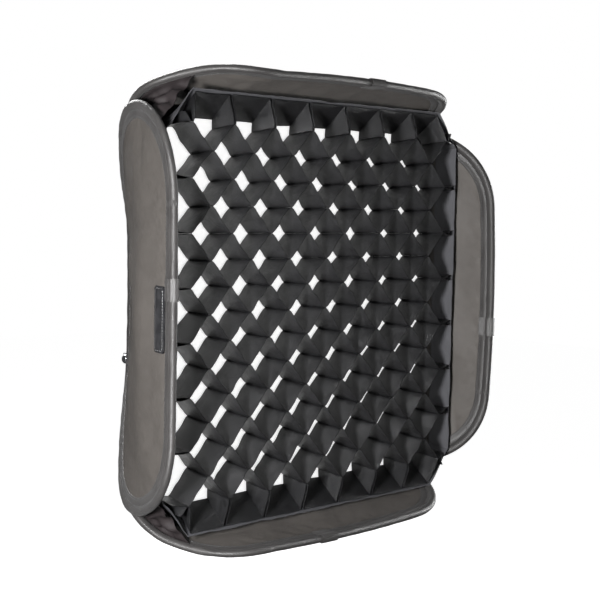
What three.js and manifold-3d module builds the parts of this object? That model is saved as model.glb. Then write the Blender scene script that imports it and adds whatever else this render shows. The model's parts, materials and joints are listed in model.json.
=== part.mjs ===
// Collapsible square softbox for a shoe-mount flash, on its slotted bracket and tilt head.
// Millimetres, +Z up. The light leaves towards -Y. The origin is the centre of the stand
// socket's mouth, so the stand axis is the Z axis.

import * as THREE from 'three';
import { mergeVertices } from 'three/addons/utils/BufferGeometryUtils.js';
import Module from 'manifold-3d';

const wasm = await Module();
wasm.setup();

// ---------------------------------------------------------------- driving dimensions

const GRID_CELL = 66; // one diamond of the fabric grid, point to point
const GRID_CELLS_ACROSS = 7;
const GRID_DEPTH = 36; // of the border band; the strips also stand out in front of it
const GRID_PROUD = 9;
const GRID_BAND = 0.52; // from the outer nodes to the border band, in cells
const LIGHT_AXIS_Z = 232; // above the stand socket's mouth
const GRID_FRONT_Y = -360; // the border band's front edge, from the stand axis
const GAP = 0.3; // clearance between touching pieces

// Each wall is made as the top one and turned about the light axis, and each hangs its own way.
// lift raises the lip and bulge its middle. At one end, +1 or -1, corner raises it and reach
// makes it longer, which dies away over the depths of fade. twist raises the +X end behind
// the grid.
const SIDES = [
  {
    name: 'top', turn: 0, lift: -1, bulge: 6.5, end: -1, corner: 16, reach: 0, fade: [50, 230], twist: 0,
  },
  {
    name: 'right', turn: Math.PI / 2, lift: -3, bulge: 0, end: 1, corner: 0, reach: 0, fade: [20, 90], twist: 0,
  },
  {
    name: 'bottom', turn: Math.PI, lift: 0, bulge: 4, end: 1, corner: 9, reach: 0, fade: [20, 90], twist: 0,
  },
  {
    name: 'left', turn: -Math.PI / 2, lift: 0, bulge: 0, end: 1, corner: 0, reach: 8, fade: [50, 230], twist: 3,
  },
];

// Walls. Depth is measured back from the grid's front plane, height out from the light axis.
const WALL = {
  front: -41, // depth of a loop's front edge at its corners
  rear: 290,
  bow: 13, // how far the middle of the front edge stands ahead of its corners
  cornerAcross: 138, // size of a loop's rounded front corner, across and along
  cornerAlong: 150,
  rearCorner: 25,
  seamGap: 8, // from a loop's side to the corner seam
  thickness: 1.4,
};
const seamHeight = smoothProfile([[-80, 291], [0, 275], [100, 249], [180, 199], [290, 112]]);
const middleHeight = smoothProfile([[-80, 298], [0, 280], [100, 238], [200, 170], [290, 110]]);

const DIFFUSER = { half: 255.5, leg: 36, depth: 47, hem: 16, thickness: 1, taper: 0.975 };
const WIRE_RADIUS = 1.75;
const BINDING = { radius: 4.7, skin: 1.1, lip: 11, lipHalf: 2 };
const PANEL_INSET = 13; // from the wire to the panel's own edge

// Metalwork
const PLATE = { half: 96, thickness: 2, depth: 283, openingWide: 104, openingTall: 80 };
const REAR_PANEL = { half: 103, depth: 288, thickness: 1.6, openingWide: 122, openingTall: 98 };
const ARM = { legHalf: 28, barHalf: 22, thickness: 4, barTopZ: 129, tailY: 75, legTopZ: 186 };
const ARM_LEG_Y = GRID_FRONT_Y + WALL.rear + 8;
const SCREW_X = 18;
const SCREW_Z = 157;
const HINGE_Z = 99;
const TILT_BOLT_RADIUS = 4;
const SOCKET = { radius: 17, bore: 8.2, depth: 45 };
const CARRIAGE = { y: 22, length: 36, half: 27, topZ: 143 };
const SHOE = { half: 16, slotHalf: 9.4, railHalf: 13.2, baseTopZ: 146, railTopZ: 151 };

// ---------------------------------------------------------------- materials

function material(color, roughness, metalness = 0) {
  return new THREE.MeshStandardMaterial({ color, roughness, metalness });
}

const LOOKS = {
  blackNylon: () => material(0x2c2a2b, 0.72),
  tape: () => material(0x6f6a68, 0.62),
  gussetCloth: () => material(0x3a3035, 0.8),
  gridCloth: () => material(0x1f1f21, 0.75),
  diffuserCloth: () => material(0xf4f4f2, 0.9),
  hookTape: () => material(0x171717, 0.95),
  springSteel: () => material(0x8d8f92, 0.35, 1),
  blackSteel: () => material(0x1b1b1c, 0.5, 0.6),
  castBlack: () => material(0x232325, 0.55, 0.3),
  plastic: () => material(0x1c1c1d, 0.6),
  silver: () => material(0xb9bec6, 0.28, 1),
  zinc: () => material(0x9fa3a8, 0.35, 1),
  rubber: () => material(0x151515, 0.95),
};

// ---------------------------------------------------------------- general helpers

// A smooth curve height(depth) through a few stations.
function smoothProfile(stations) {
  const slope = stations.map((station, i) => {
    const before = stations[Math.max(0, i - 1)];
    const after = stations[Math.min(stations.length - 1, i + 1)];
    return (after[1] - before[1]) / (after[0] - before[0]);
  });
  return (depth) => {
    let i = 0;
    while (i < stations.length - 2 && depth > stations[i + 1][0]) i += 1;
    const [x0, y0] = stations[i];
    const [x1, y1] = stations[i + 1];
    const span = x1 - x0;
    const t = (depth - x0) / span;
    const rise = (3 - 2 * t) * t * t;
    const leave = t * (1 - t) * (1 - t) * slope[i];
    const arrive = t * t * (t - 1) * slope[i + 1];
    return y0 + (y1 - y0) * rise + span * (leave + arrive);
  };
}

function solidOf(geometry) {
  const bare = geometry.clone();
  bare.deleteAttribute('normal');
  bare.deleteAttribute('uv');
  const merged = mergeVertices(bare, 1e-4);
  const mesh = new wasm.Mesh({
    numProp: 3,
    vertProperties: new Float32Array(merged.attributes.position.array),
    triVerts: new Uint32Array(merged.index.array),
  });
  return new wasm.Manifold(mesh);
}

function geometryOf(solid) {
  const mesh = solid.getMesh();
  const geometry = new THREE.BufferGeometry();
  geometry.setAttribute('position', new THREE.Float32BufferAttribute(mesh.vertProperties, 3));
  geometry.setIndex(new THREE.Uint32BufferAttribute(mesh.triVerts, 1));
  geometry.computeVertexNormals();
  return geometry;
}

// Joins the first list of shapes and cuts the second list out of the result.
function build(joined, cut = []) {
  let solid = solidOf(joined[0]);
  for (const shape of joined.slice(1)) solid = solid.add(solidOf(shape));
  for (const shape of cut) solid = solid.subtract(solidOf(shape));
  return geometryOf(solid);
}

function box(x0, x1, y0, y1, z0, z1) {
  const geometry = new THREE.BoxGeometry(x1 - x0, y1 - y0, z1 - z0);
  return geometry.translate((x0 + x1) / 2, (y0 + y1) / 2, (z0 + z1) / 2);
}

// Turns a shape that runs along +Y so that it runs along the named axis.
function alongAxis(geometry, axis) {
  if (axis === 'x') geometry.rotateZ(-Math.PI / 2);
  if (axis === '-x') geometry.rotateZ(Math.PI / 2);
  if (axis === 'z') geometry.rotateX(Math.PI / 2);
  if (axis === '-z') geometry.rotateX(-Math.PI / 2);
  return geometry;
}

// A round bar that starts at a point and runs along an axis.
function rod(radius, length, axis, x, y, z, sides = 20) {
  const geometry = new THREE.CylinderGeometry(radius, radius, length, sides);
  geometry.translate(0, length / 2, 0);
  return alongAxis(geometry, axis).translate(x, y, z);
}

// A turned piece: [radius, distance] pairs from the start point along an axis.
function turned(profile, axis, x, y, z, sides = 24) {
  const points = profile.map(([radius, along]) => new THREE.Vector2(radius, along));
  return alongAxis(new THREE.LatheGeometry(points, sides), axis).translate(x, y, z);
}

// A plate in the XZ plane, drawn as a shape and pushed back along +Y.
function plateXZ(shape, y, thickness) {
  const geometry = new THREE.ExtrudeGeometry(shape, { depth: thickness, bevelEnabled: false, curveSegments: 4 });
  return geometry.rotateX(Math.PI / 2).translate(0, y + thickness, 0);
}

function roundedRectangle(halfWide, halfTall, radius, Kind = THREE.Shape) {
  const outline = new Kind();
  const corners = [[1, 1, 0], [-1, 1, 0.5], [-1, -1, 1], [1, -1, 1.5]];
  for (const [sx, sy, start] of corners) {
    const cx = sx * (halfWide - radius);
    const cy = sy * (halfTall - radius);
    outline.absarc(cx, cy, radius, start * Math.PI, (start + 0.5) * Math.PI, false);
  }
  outline.closePath();
  return outline;
}

// A square with its corners cut off, used for everything that spans the box inside.
function cutSquare(half, leg) {
  const outline = new THREE.Shape();
  const short = half - leg;
  const points = [
    [half, -short], [half, short], [short, half], [-short, half],
    [-half, short], [-half, -short], [-short, -half], [short, -half],
  ];
  points.forEach(([x, z], i) => (i ? outline.lineTo(x, z) : outline.moveTo(x, z)));
  outline.closePath();
  return outline;
}

// A closed surface through rings of points; the last ring meets the first one again.
function closedLoft(rings) {
  const ringSize = rings[0].length;
  const positions = rings.flat().flatMap((point) => point.toArray());
  const triangles = [];
  for (let i = 0; i < rings.length; i += 1) {
    const next = (i + 1) % rings.length;
    for (let j = 0; j < ringSize; j += 1) {
      const side = (j + 1) % ringSize;
      const a = i * ringSize + j;
      const b = next * ringSize + j;
      const c = next * ringSize + side;
      const d = i * ringSize + side;
      triangles.push(a, b, c, a, c, d);
    }
  }
  const geometry = new THREE.BufferGeometry();
  geometry.setAttribute('position', new THREE.Float32BufferAttribute(positions, 3));
  geometry.setIndex(triangles);
  geometry.computeVertexNormals();
  return geometry;
}

// A cloth sheet through a grid of points, given thickness on both sides of it.
function thickSheet(rows, thickness) {
  const rowCount = rows.length;
  const columnCount = rows[0].length;
  const pick = (i, j) => rows[THREE.MathUtils.clamp(i, 0, rowCount - 1)][
    THREE.MathUtils.clamp(j, 0, columnCount - 1)];
  const layers = [[], []];
  for (let i = 0; i < rowCount; i += 1) {
    for (let j = 0; j < columnCount; j += 1) {
      const along = pick(i + 1, j).clone().sub(pick(i - 1, j));
      const across = pick(i, j + 1).clone().sub(pick(i, j - 1));
      const normal = across.cross(along).setLength(thickness / 2);
      layers[0].push(rows[i][j].clone().add(normal));
      layers[1].push(rows[i][j].clone().sub(normal));
    }
  }
  const layerSize = rowCount * columnCount;
  const at = (layer, i, j) => layer * layerSize + i * columnCount + j;
  const triangles = [];
  const quad = (a, b, c, d) => triangles.push(a, b, c, a, c, d);
  for (let i = 0; i + 1 < rowCount; i += 1) {
    for (let j = 0; j + 1 < columnCount; j += 1) {
      quad(at(0, i, j), at(0, i, j + 1), at(0, i + 1, j + 1), at(0, i + 1, j));
      quad(at(1, i, j), at(1, i + 1, j), at(1, i + 1, j + 1), at(1, i, j + 1));
    }
  }
  const lastRow = rowCount - 1;
  const lastColumn = columnCount - 1;
  for (let j = 0; j < lastColumn; j += 1) {
    quad(at(0, 0, j), at(1, 0, j), at(1, 0, j + 1), at(0, 0, j + 1));
    quad(at(0, lastRow, j + 1), at(1, lastRow, j + 1), at(1, lastRow, j), at(0, lastRow, j));
  }
  for (let i = 0; i < lastRow; i += 1) {
    quad(at(0, i + 1, 0), at(1, i + 1, 0), at(1, i, 0), at(0, i, 0));
    quad(at(0, i, lastColumn), at(1, i, lastColumn), at(1, i + 1, lastColumn), at(0, i + 1, lastColumn));
  }
  const geometry = new THREE.BufferGeometry();
  const positions = layers.flat().flatMap((point) => point.toArray());
  geometry.setAttribute('position', new THREE.Float32BufferAttribute(positions, 3));
  geometry.setIndex(triangles);
  geometry.computeVertexNormals();
  return geometry;
}

// ---------------------------------------------------------------- wall shape

// How much an inset from a slanted side measures across the wall.
function seamSlant(depth) {
  const slope = (seamHeight(depth + 1) - seamHeight(depth - 1)) / 2;
  return Math.sqrt((1 + 2 * slope * slope) / (1 + slope * slope));
}

// 0 before a start, 1 past an end, and smooth between.
function step(value, start, end) {
  return THREE.MathUtils.smoothstep(value, start, end);
}

// Half the width of a wall at a depth, inside its rounded corners and a given inset.
function wallHalfWidth(depth, inset) {
  const frontDepth = WALL.front + inset;
  const rearDepth = WALL.rear - inset;
  const along = WALL.cornerAlong - inset;
  const across = WALL.cornerAcross - inset;
  const rearCorner = Math.max(4, WALL.rearCorner - inset);
  let half = seamHeight(depth) - WALL.seamGap - inset * seamSlant(depth);
  if (depth < frontDepth + along) {
    const reach = (frontDepth + along - depth) / along;
    half -= across * (1 - Math.sqrt(Math.max(0, 1 - reach * reach)));
  }
  if (depth > rearDepth - rearCorner) {
    const reach = (depth - rearDepth + rearCorner) / rearCorner;
    half -= rearCorner * (1 - Math.sqrt(Math.max(0, 1 - reach * reach)));
  }
  return half;
}

// 1 at a wall's raised corner, falling to 0 along the lip and towards the rear.
function nearCorner(side, across, depth) {
  return step(across * side.end, 120, 250) * (1 - step(depth, ...side.fade));
}

// How much higher one wall hangs at a point than the common shape.
function hang(side, across, depth, share) {
  const lip = 1 - step(depth, -20, 190);
  const corner = nearCorner(side, across, depth);
  const behind = step(depth, 30, 130) * (1 - step(depth, 200, 290));
  const twist = THREE.MathUtils.clamp(across / 200, 0, 1) * behind;
  return side.lift * lip + side.bulge * lip * (1 - share * share) + side.corner * corner + side.twist * twist;
}

// The point on a wall's middle surface, in the softbox's own frame, before turning.
function wallPoint(side, across, depth) {
  const seam = seamHeight(depth);
  const share = Math.min(1, Math.abs(across / seam));
  const height = seam + (middleHeight(depth) - seam) * (1 - share * share);
  const fade = THREE.MathUtils.clamp(1 - (depth - WALL.front) / 60, 0, 1);
  const bow = WALL.bow * fade * (1 - (across / seamHeight(WALL.front)) ** 2);
  const longer = side.end * side.reach * nearCorner(side, across, depth);
  return new THREE.Vector3(across + longer, depth - bow, height + hang(side, across, depth, share));
}

function wallNormal(side, across, depth) {
  const h = 0.5;
  const along = wallPoint(side, across, depth + h).sub(wallPoint(side, across, depth - h));
  const sideways = wallPoint(side, across + h, depth).sub(wallPoint(side, across - h, depth));
  return sideways.cross(along).normalize();
}

// A point this far out from a wall's middle surface.
function offWall(side, across, depth, out) {
  return wallPoint(side, across, depth).addScaledVector(wallNormal(side, across, depth), out);
}

// Depth stations of a wall: round the front corner, down the side, round the rear corner.
function wallDepths(inset, cornerSteps, sideSteps, rearSteps) {
  const frontDepth = WALL.front + inset;
  const along = WALL.cornerAlong - inset;
  const rearDepth = WALL.rear - inset;
  const rearCorner = Math.max(4, WALL.rearCorner - inset);
  const depths = [];
  for (let i = 0; i < cornerSteps; i += 1) {
    depths.push(frontDepth + along * (1 - Math.cos((i / cornerSteps) * (Math.PI / 2))));
  }
  const sideStart = frontDepth + along;
  const sideEnd = rearDepth - rearCorner;
  for (let i = 0; i < sideSteps; i += 1) {
    depths.push(THREE.MathUtils.lerp(sideStart, sideEnd, i / sideSteps));
  }
  for (let i = 0; i <= rearSteps; i += 1) {
    depths.push(sideEnd + rearCorner * Math.sin((i / rearSteps) * (Math.PI / 2)));
  }
  return depths;
}

// The closed line of a wire loop as [across, depth] pairs, seen from outside the wall.
function loopOutline() {
  const right = wallDepths(0, 6, 6, 3).map((depth) => [wallHalfWidth(depth, 0), depth]);
  const left = right.map(([across, depth]) => [-across, depth]).reverse();
  const frontHalf = right[0][0];
  const rearHalf = left[0][0];
  const rear = [0.5, 0, -0.5].map((share) => [-rearHalf * share, WALL.rear]);
  const front = [-0.6, -0.2, 0.2, 0.6].map((share) => [frontHalf * share, WALL.front]);
  return [...right, ...rear, ...left, ...front];
}

// Rings of a section swept round the loop. Section points are [inward, outward] offsets.
function sweepLoop(side, section) {
  const outline = loopOutline();
  const line = outline.map(([across, depth]) => wallPoint(side, across, depth));
  return line.map((point, i) => {
    const before = line[(i + line.length - 1) % line.length];
    const after = line[(i + 1) % line.length];
    const tangent = after.clone().sub(before).normalize();
    const normal = wallNormal(side, ...outline[i]);
    const inward = tangent.clone().cross(normal).normalize();
    if (inward.dot(new THREE.Vector3(-point.x, 120 - point.y, 0)) < 0) inward.negate();
    const outward = normal.clone().addScaledVector(tangent, -normal.dot(tangent)).normalize();
    return section.map(([inner, outer]) => point.clone()
      .addScaledVector(inward, inner).addScaledVector(outward, outer));
  });
}

// ---------------------------------------------------------------- cloth body

function wireLoop(side) {
  const section = [];
  const sides = 6;
  for (let i = 0; i < sides; i += 1) {
    const angle = (-i / sides) * Math.PI * 2;
    section.push([WIRE_RADIUS * Math.cos(angle), WIRE_RADIUS * Math.sin(angle)]);
  }
  return closedLoft(sweepLoop(side, section));
}

// Binding tape folded over the wire: a channel that opens towards the panel.
function bindingTape(side) {
  const { radius, skin, lip, lipHalf } = BINDING;
  const inner = radius - skin;
  const section = [
    [lip, lipHalf], [0, radius], [-radius, 0], [0, -radius], [lip, -lipHalf],
    [lip, -lipHalf + skin], [0, -inner], [-inner, 0], [0, inner], [lip, lipHalf - skin],
  ];
  return closedLoft(sweepLoop(side, section.reverse()));
}

function sidePanel(side) {
  const columns = 6;
  const rows = wallDepths(PANEL_INSET, 5, 5, 1).map((depth) => {
    const half = wallHalfWidth(depth, PANEL_INSET);
    const row = [];
    for (let j = 0; j <= columns; j += 1) {
      row.push(wallPoint(side, half * (1 - (2 * j) / columns), depth));
    }
    return row;
  });
  return thickSheet(rows, WALL.thickness);
}

// Cloth that closes the corner between a wall and the next one clockwise from the front,
// tucked inside their bindings.
function cornerGusset(side, nextSide) {
  const tuck = 6;
  const drop = 5;
  const rows = [];
  for (let i = 0; i <= 12; i += 1) {
    const depth = THREE.MathUtils.lerp(9, WALL.rear - 12, i / 12);
    const start = offWall(side, wallHalfWidth(depth, 0) - tuck, depth, -drop);
    const mirrored = offWall(nextSide, tuck - wallHalfWidth(depth, 0), depth, -drop);
    const end = new THREE.Vector3(mirrored.z, mirrored.y, -mirrored.x);
    const foldX = Math.min((start.x + end.x) / 2 - 0.5, seamHeight(depth) - 11);
    const foldZ = Math.min((start.z + end.z) / 2 - 0.5, seamHeight(depth) - 11);
    rows.push([start, new THREE.Vector3(foldX, depth, foldZ), end]);
  }
  return thickSheet(rows, 1);
}

// Hook tape sewn inside a wall, which holds the diffuser and the grid.
function hookTape(side) {
  const rows = [DIFFUSER.depth, DIFFUSER.depth + 9, DIFFUSER.depth + 18].map((depth) => {
    const row = [];
    for (let j = 0; j <= 8; j += 1) {
      const across = 215 * (1 - j / 4);
      row.push(offWall(side, across, depth, -3));
    }
    return row;
  });
  return thickSheet(rows, 1.2);
}

// Plain sewn-on patch outside one wall.
function sidePatch(side) {
  const rows = [-26, -16, -5].map((depth) => [39, 13, -13, -39].map((across) => (
    offWall(side, across, depth, 2.4))));
  return thickSheet(rows, 1.2);
}

function rearPanel() {
  const { half, depth, thickness, openingWide, openingTall } = REAR_PANEL;
  const outline = cutSquare(half, 12);
  outline.holes.push(roundedRectangle(openingWide / 2, openingTall / 2, 14, THREE.Path));
  return build([plateXZ(outline, depth, thickness)], plateScrewHoles());
}

// Gathered elastic hem round the opening of the rear panel.
function openingHem() {
  const { depth, thickness, openingWide, openingTall } = REAR_PANEL;
  const outline = roundedRectangle(openingWide / 2 - GAP, openingTall / 2 - GAP, 13.7);
  outline.holes.push(roundedRectangle(openingWide / 2 - 5, openingTall / 2 - 5, 9, THREE.Path));
  return plateXZ(outline, depth - 1.2, thickness + 2.4);
}

// The diffuser is a shallow tray: a white face with a hem turned back along the walls.
function frontDiffuser() {
  const { half, leg, depth, hem, thickness, taper } = DIFFUSER;
  const face = taperBack(plateXZ(cutSquare(half, leg), depth, hem), depth, hem, taper);
  const innerHalf = half - thickness;
  const hollow = plateXZ(cutSquare(innerHalf, leg - 0.4 * thickness), depth + thickness, hem);
  return build([face], [taperBack(hollow, depth + thickness, hem, taper)]);
}

// The inner baffle hangs from the corner seams by four tabs.
function innerBaffle() {
  const outline = new THREE.Shape();
  const half = 168;
  const tab = 187;
  const neck = 150;
  const ring = [];
  for (let i = 0; i < 4; i += 1) {
    const angle = (i * Math.PI) / 2;
    for (const [x, z] of [[half, neck], [tab, tab - 14], [tab - 14, tab], [neck, half]]) {
      ring.push([x * Math.cos(angle) - z * Math.sin(angle), x * Math.sin(angle) + z * Math.cos(angle)]);
    }
  }
  ring.forEach(([x, z], i) => (i ? outline.lineTo(x, z) : outline.moveTo(x, z)));
  outline.closePath();
  return plateXZ(outline, 165, 1.2);
}

// ---------------------------------------------------------------- fabric grid

const GRID_HALF = (GRID_CELLS_ACROSS / 2 + GRID_BAND) * GRID_CELL;
const GRID_TAPER = 0.975; // the walls close in behind the grid's front plane
const GRID_BOW = 8; // how far its middle hangs back
const STRIP = 0.9;
const STRIP_OFFSET = STRIP / 2 + GAP / 2 + 0.05;
const NODE_HALF = 0.075 * GRID_CELL;

// Shrinks a shape towards its rear face so that it follows the walls.
function taperBack(geometry, frontY, depth, scale) {
  const position = geometry.attributes.position;
  for (let i = 0; i < position.count; i += 1) {
    const share = (position.getY(i) - frontY) / depth;
    const factor = 1 - (1 - scale) * share;
    position.setX(i, position.getX(i) * factor);
    position.setZ(i, position.getZ(i) * factor);
  }
  return geometry;
}

function bowBack(geometry) {
  const position = geometry.attributes.position;
  for (let i = 0; i < position.count; i += 1) {
    const across = Math.min(1, Math.abs(position.getX(i)) / GRID_HALF);
    const up = Math.min(1, Math.abs(position.getZ(i)) / GRID_HALF);
    const bow = GRID_BOW * (1 - across * across) * (1 - up * up);
    position.setY(i, position.getY(i) + bow);
  }
  return geometry;
}

function gridPiece(shape) {
  const sheet = plateXZ(shape, -GRID_PROUD, GRID_PROUD + GRID_DEPTH);
  return build([bowBack(taperBack(sheet, 0, GRID_DEPTH, GRID_TAPER))]);
}

// The outline of a strip of cloth seen edge on, from the line that it follows.
function ribbonShape(path) {
  const sides = [[], []];
  path.forEach(([x, z], i) => {
    const before = path[Math.max(0, i - 1)];
    const after = path[Math.min(path.length - 1, i + 1)];
    const into = new THREE.Vector2(x - before[0], z - before[1]).normalize();
    const out = new THREE.Vector2(after[0] - x, after[1] - z).normalize();
    if (i === 0) into.copy(out);
    if (i === path.length - 1) out.copy(into);
    const mitre = new THREE.Vector2(-into.y - out.y, into.x + out.x).normalize();
    const reach = STRIP / 2 / Math.max(0.4, mitre.x * -into.y + mitre.y * into.x);
    sides[0].push([x + mitre.x * reach, z + mitre.y * reach]);
    sides[1].unshift([x - mitre.x * reach, z - mitre.y * reach]);
  });
  const shape = new THREE.Shape();
  sides.flat().forEach(([x, z], i) => (i ? shape.lineTo(x, z) : shape.moveTo(x, z)));
  shape.closePath();
  return shape;
}

const NODE_COUNT = 2 * GRID_CELLS_ACROSS + 1;
const columnX = (column) => (column - GRID_CELLS_ACROSS) * (GRID_CELL / 2);
const rowZ = (row) => (GRID_CELLS_ACROSS - row) * (GRID_CELL / 2);
const BORDER_THICKNESS = 1.6;
const CORNER_LEG = 48;
const STRIP_END = GRID_HALF - BORDER_THICKNESS - GAP - 0.1;

// One zigzag strip. It meets the strip above at its upper nodes and the one below at its lower.
function gridStrip(index) {
  const nodeZ = (column) => ((column + index) % 2 === 0
    ? rowZ(index) - STRIP_OFFSET
    : rowZ(index + 1) + STRIP_OFFSET);
  const endX = (z) => Math.min(STRIP_END, 2 * STRIP_END - CORNER_LEG - Math.abs(z) - 2 * STRIP);
  const path = [[-endX(nodeZ(0)), nodeZ(0)]];
  for (let column = 0; column < NODE_COUNT; column += 1) {
    if (column > 0) path.push([columnX(column) - NODE_HALF, nodeZ(column)]);
    if (column < NODE_COUNT - 1) path.push([columnX(column) + NODE_HALF, nodeZ(column)]);
  }
  path.push([endX(nodeZ(NODE_COUNT - 1)), nodeZ(NODE_COUNT - 1)]);
  return gridPiece(ribbonShape(path));
}

// The strip along the top or bottom edge: pockets that run from the nodes out to the border.
function gridEdgeStrip(side) {
  const nodeZ = side * (rowZ(0) + STRIP_OFFSET);
  const edgeZ = side * (STRIP_END - STRIP / 2);
  const pocket = NODE_HALF * 1.5;
  const cornerEnd = STRIP_END - CORNER_LEG / 2 - STRIP;
  const lastTopX = STRIP_END - CORNER_LEG - 2 * STRIP;
  const path = [[-cornerEnd, side * cornerEnd]];
  for (let column = 0; column < NODE_COUNT; column += 2) {
    const x = columnX(column);
    if (column > 0) path.push([Math.min(lastTopX, x - pocket), edgeZ]);
    path.push([x - NODE_HALF, nodeZ], [x + NODE_HALF, nodeZ]);
    if (column < NODE_COUNT - 1) path.push([Math.max(-lastTopX, x + pocket), edgeZ]);
  }
  path.push([cornerEnd, side * cornerEnd]);
  return gridPiece(ribbonShape(path));
}

function gridBorder() {
  const outline = cutSquare(GRID_HALF, CORNER_LEG);
  const inner = cutSquare(GRID_HALF - BORDER_THICKNESS, CORNER_LEG - BORDER_THICKNESS / 2);
  outline.holes.push(new THREE.Path(inner.getPoints().reverse()));
  return build([taperBack(plateXZ(outline, 0, GRID_DEPTH), 0, GRID_DEPTH, GRID_TAPER)]);
}

// ---------------------------------------------------------------- bracket and tilt head

// Holes for the two plate screws, in the softbox's frame, through everything they clamp.
function plateScrewHoles() {
  return [-1, 1].map((side) => rod(3.3, 40, 'y', side * SCREW_X, 270, SCREW_Z - LIGHT_AXIS_Z));
}

// Steel plate inside the rear of the box, with flanges that bear on the loops' rear runs.
function mountPlate() {
  const { half, thickness, depth, openingWide, openingTall } = PLATE;
  const outline = roundedRectangle(half, half, 10);
  outline.holes.push(roundedRectangle(openingWide / 2, openingTall / 2, 8, THREE.Path));
  const pieces = [plateXZ(outline, depth, thickness)];
  for (const { turn } of SIDES) {
    const flange = box(-60, 60, -11, 1, -thickness / 2, thickness / 2);
    flange.rotateX(-0.65).translate(0, depth + 1, half - 1.5).rotateY(turn);
    pieces.push(flange);
  }
  return build(pieces, plateScrewHoles());
}

function bracketPad() {
  const y = GRID_FRONT_Y + REAR_PANEL.depth + REAR_PANEL.thickness + GAP;
  const pad = box(-26, 26, y, ARM_LEG_Y - GAP, ARM.barTopZ + 8, ARM.legTopZ - 4);
  const holes = [-1, 1].map((side) => rod(3.3, 20, 'y', side * SCREW_X, y - 5, SCREW_Z));
  return build([pad], holes);
}

// L-shaped arm: the leg is screwed to the plate, the bar runs back with a slot in it.
function bracketArm() {
  const { legHalf, barHalf, thickness, barTopZ, tailY, legTopZ } = ARM;
  const leg = box(-legHalf, legHalf, ARM_LEG_Y, ARM_LEG_Y + thickness, barTopZ - thickness, legTopZ);
  const bar = box(-barHalf, barHalf, ARM_LEG_Y, tailY, barTopZ - thickness, barTopZ);
  const slot = [
    box(-4.3, 4.3, -34, 62, barTopZ - 10, barTopZ + 5),
    rod(4.3, 15, 'z', 0, -34, barTopZ - 10, 16),
    rod(4.3, 15, 'z', 0, 62, barTopZ - 10, 16),
  ];
  const holes = [-1, 1].map((side) => rod(3.3, 20, 'y', side * SCREW_X, ARM_LEG_Y - 5, SCREW_Z));
  return build([leg, bar], [...slot, ...holes]);
}

function plateScrew(side) {
  const headY = ARM_LEG_Y + ARM.thickness + GAP;
  const shankStart = GRID_FRONT_Y + PLATE.depth - 4;
  const shank = rod(3, headY - shankStart + 1, 'y', side * SCREW_X, shankStart, SCREW_Z, 16);
  const profile = [[0, 0], [7, 0], [8, 1], [8, 7], [7, 8], [0, 8]];
  return build([turned(profile, 'y', side * SCREW_X, headY, SCREW_Z, 20), shank]);
}

function armBolt() {
  const headZ = ARM.barTopZ + GAP;
  const shank = rod(4, 16, 'z', 0, 0, headZ - 15, 16);
  const head = turned([[0, 0], [6.5, 0], [6.5, 2.6], [5.4, 3.6], [0, 3.6]], 'z', 0, 0, headZ, 20);
  const socket = new THREE.CylinderGeometry(2.9, 2.9, 4, 6).rotateX(Math.PI / 2).translate(0, 0, headZ + 4);
  return build([head, shank], [socket]);
}

// Upper half of the tilt head: a foot under the bar and a tongue down to the hinge.
function tiltHeadUpper() {
  const footTop = ARM.barTopZ - ARM.thickness - GAP;
  const foot = box(-14, 14, -17, 17, footTop - 6, footTop);
  const tongue = box(-5.5, 5.5, -13, 13, HINGE_Z, footTop - 5);
  const eye = rod(13, 11, 'x', -5.5, 0, HINGE_Z, 28);
  const boltHole = rod(4.3, 20, 'z', 0, 0, footTop - 14, 16);
  const pivot = rod(TILT_BOLT_RADIUS + GAP, 20, 'x', -10, 0, HINGE_Z, 20);
  return build([foot, tongue, eye], [boltHole, pivot]);
}

// Lower half: fork cheeks round the tongue, umbrella hole, and the socket for the stand.
function tiltHeadLower() {
  const barrel = turned(
    [[0, 0], [SOCKET.radius - 1, 0], [SOCKET.radius, 1], [SOCKET.radius, 66], [14, 72], [0, 72]],
    'z', 0, 0, 0, 32,
  );
  const body = box(-14, 14, -14, 14, 66, HINGE_Z);
  const eye = rod(14, 28, 'x', -14, 0, HINGE_Z, 28);
  const cuts = [
    box(-5.9, 5.9, -20, 20, HINGE_Z - 15, HINGE_Z + 20),
    rod(SOCKET.bore, SOCKET.depth + 5, 'z', 0, 0, -5, 24),
    rod(4.3, 50, 'y', 0, -25, 60, 16),
    rod(TILT_BOLT_RADIUS + GAP, 50, 'x', -25, 0, HINGE_Z, 20),
    rod(3.3, 20, 'y', 0, 4, 22, 16),
    rod(2.8, 20, 'x', 3, 0, 60, 16),
  ];
  return build([barrel, body, eye], cuts);
}

function tiltBolt() {
  const shank = rod(TILT_BOLT_RADIUS, 42, 'x', -26, 0, HINGE_Z, 20);
  const head = turned([[0, 0], [7, 0], [7, 4], [6, 5], [0, 5]], 'x', 14.3, 0, HINGE_Z, 20);
  const socket = new THREE.CylinderGeometry(2.9, 2.9, 4, 6).rotateZ(Math.PI / 2).translate(19, 0, HINGE_Z);
  return build([shank, head], [socket]);
}

// Clamp lever: a hub on the tilt bolt's end and an arm that points back when it is tight.
function tiltLever() {
  const hub = turned([[0, 0], [10, 0], [10, 12], [9, 14], [0, 14]], '-x', -14.4, 0, HINGE_Z, 24);
  const bore = rod(TILT_BOLT_RADIUS + GAP, 13, '-x', -13.9, 0, HINGE_Z, 20);
  const arm = turned([[0, 0], [4.2, 0], [3.3, 30], [4.2, 36], [4.5, 40], [3.6, 43], [0, 44.5]],
    'y', -22.8, 5, HINGE_Z, 12);
  return build([hub, arm], [bore]);
}

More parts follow.
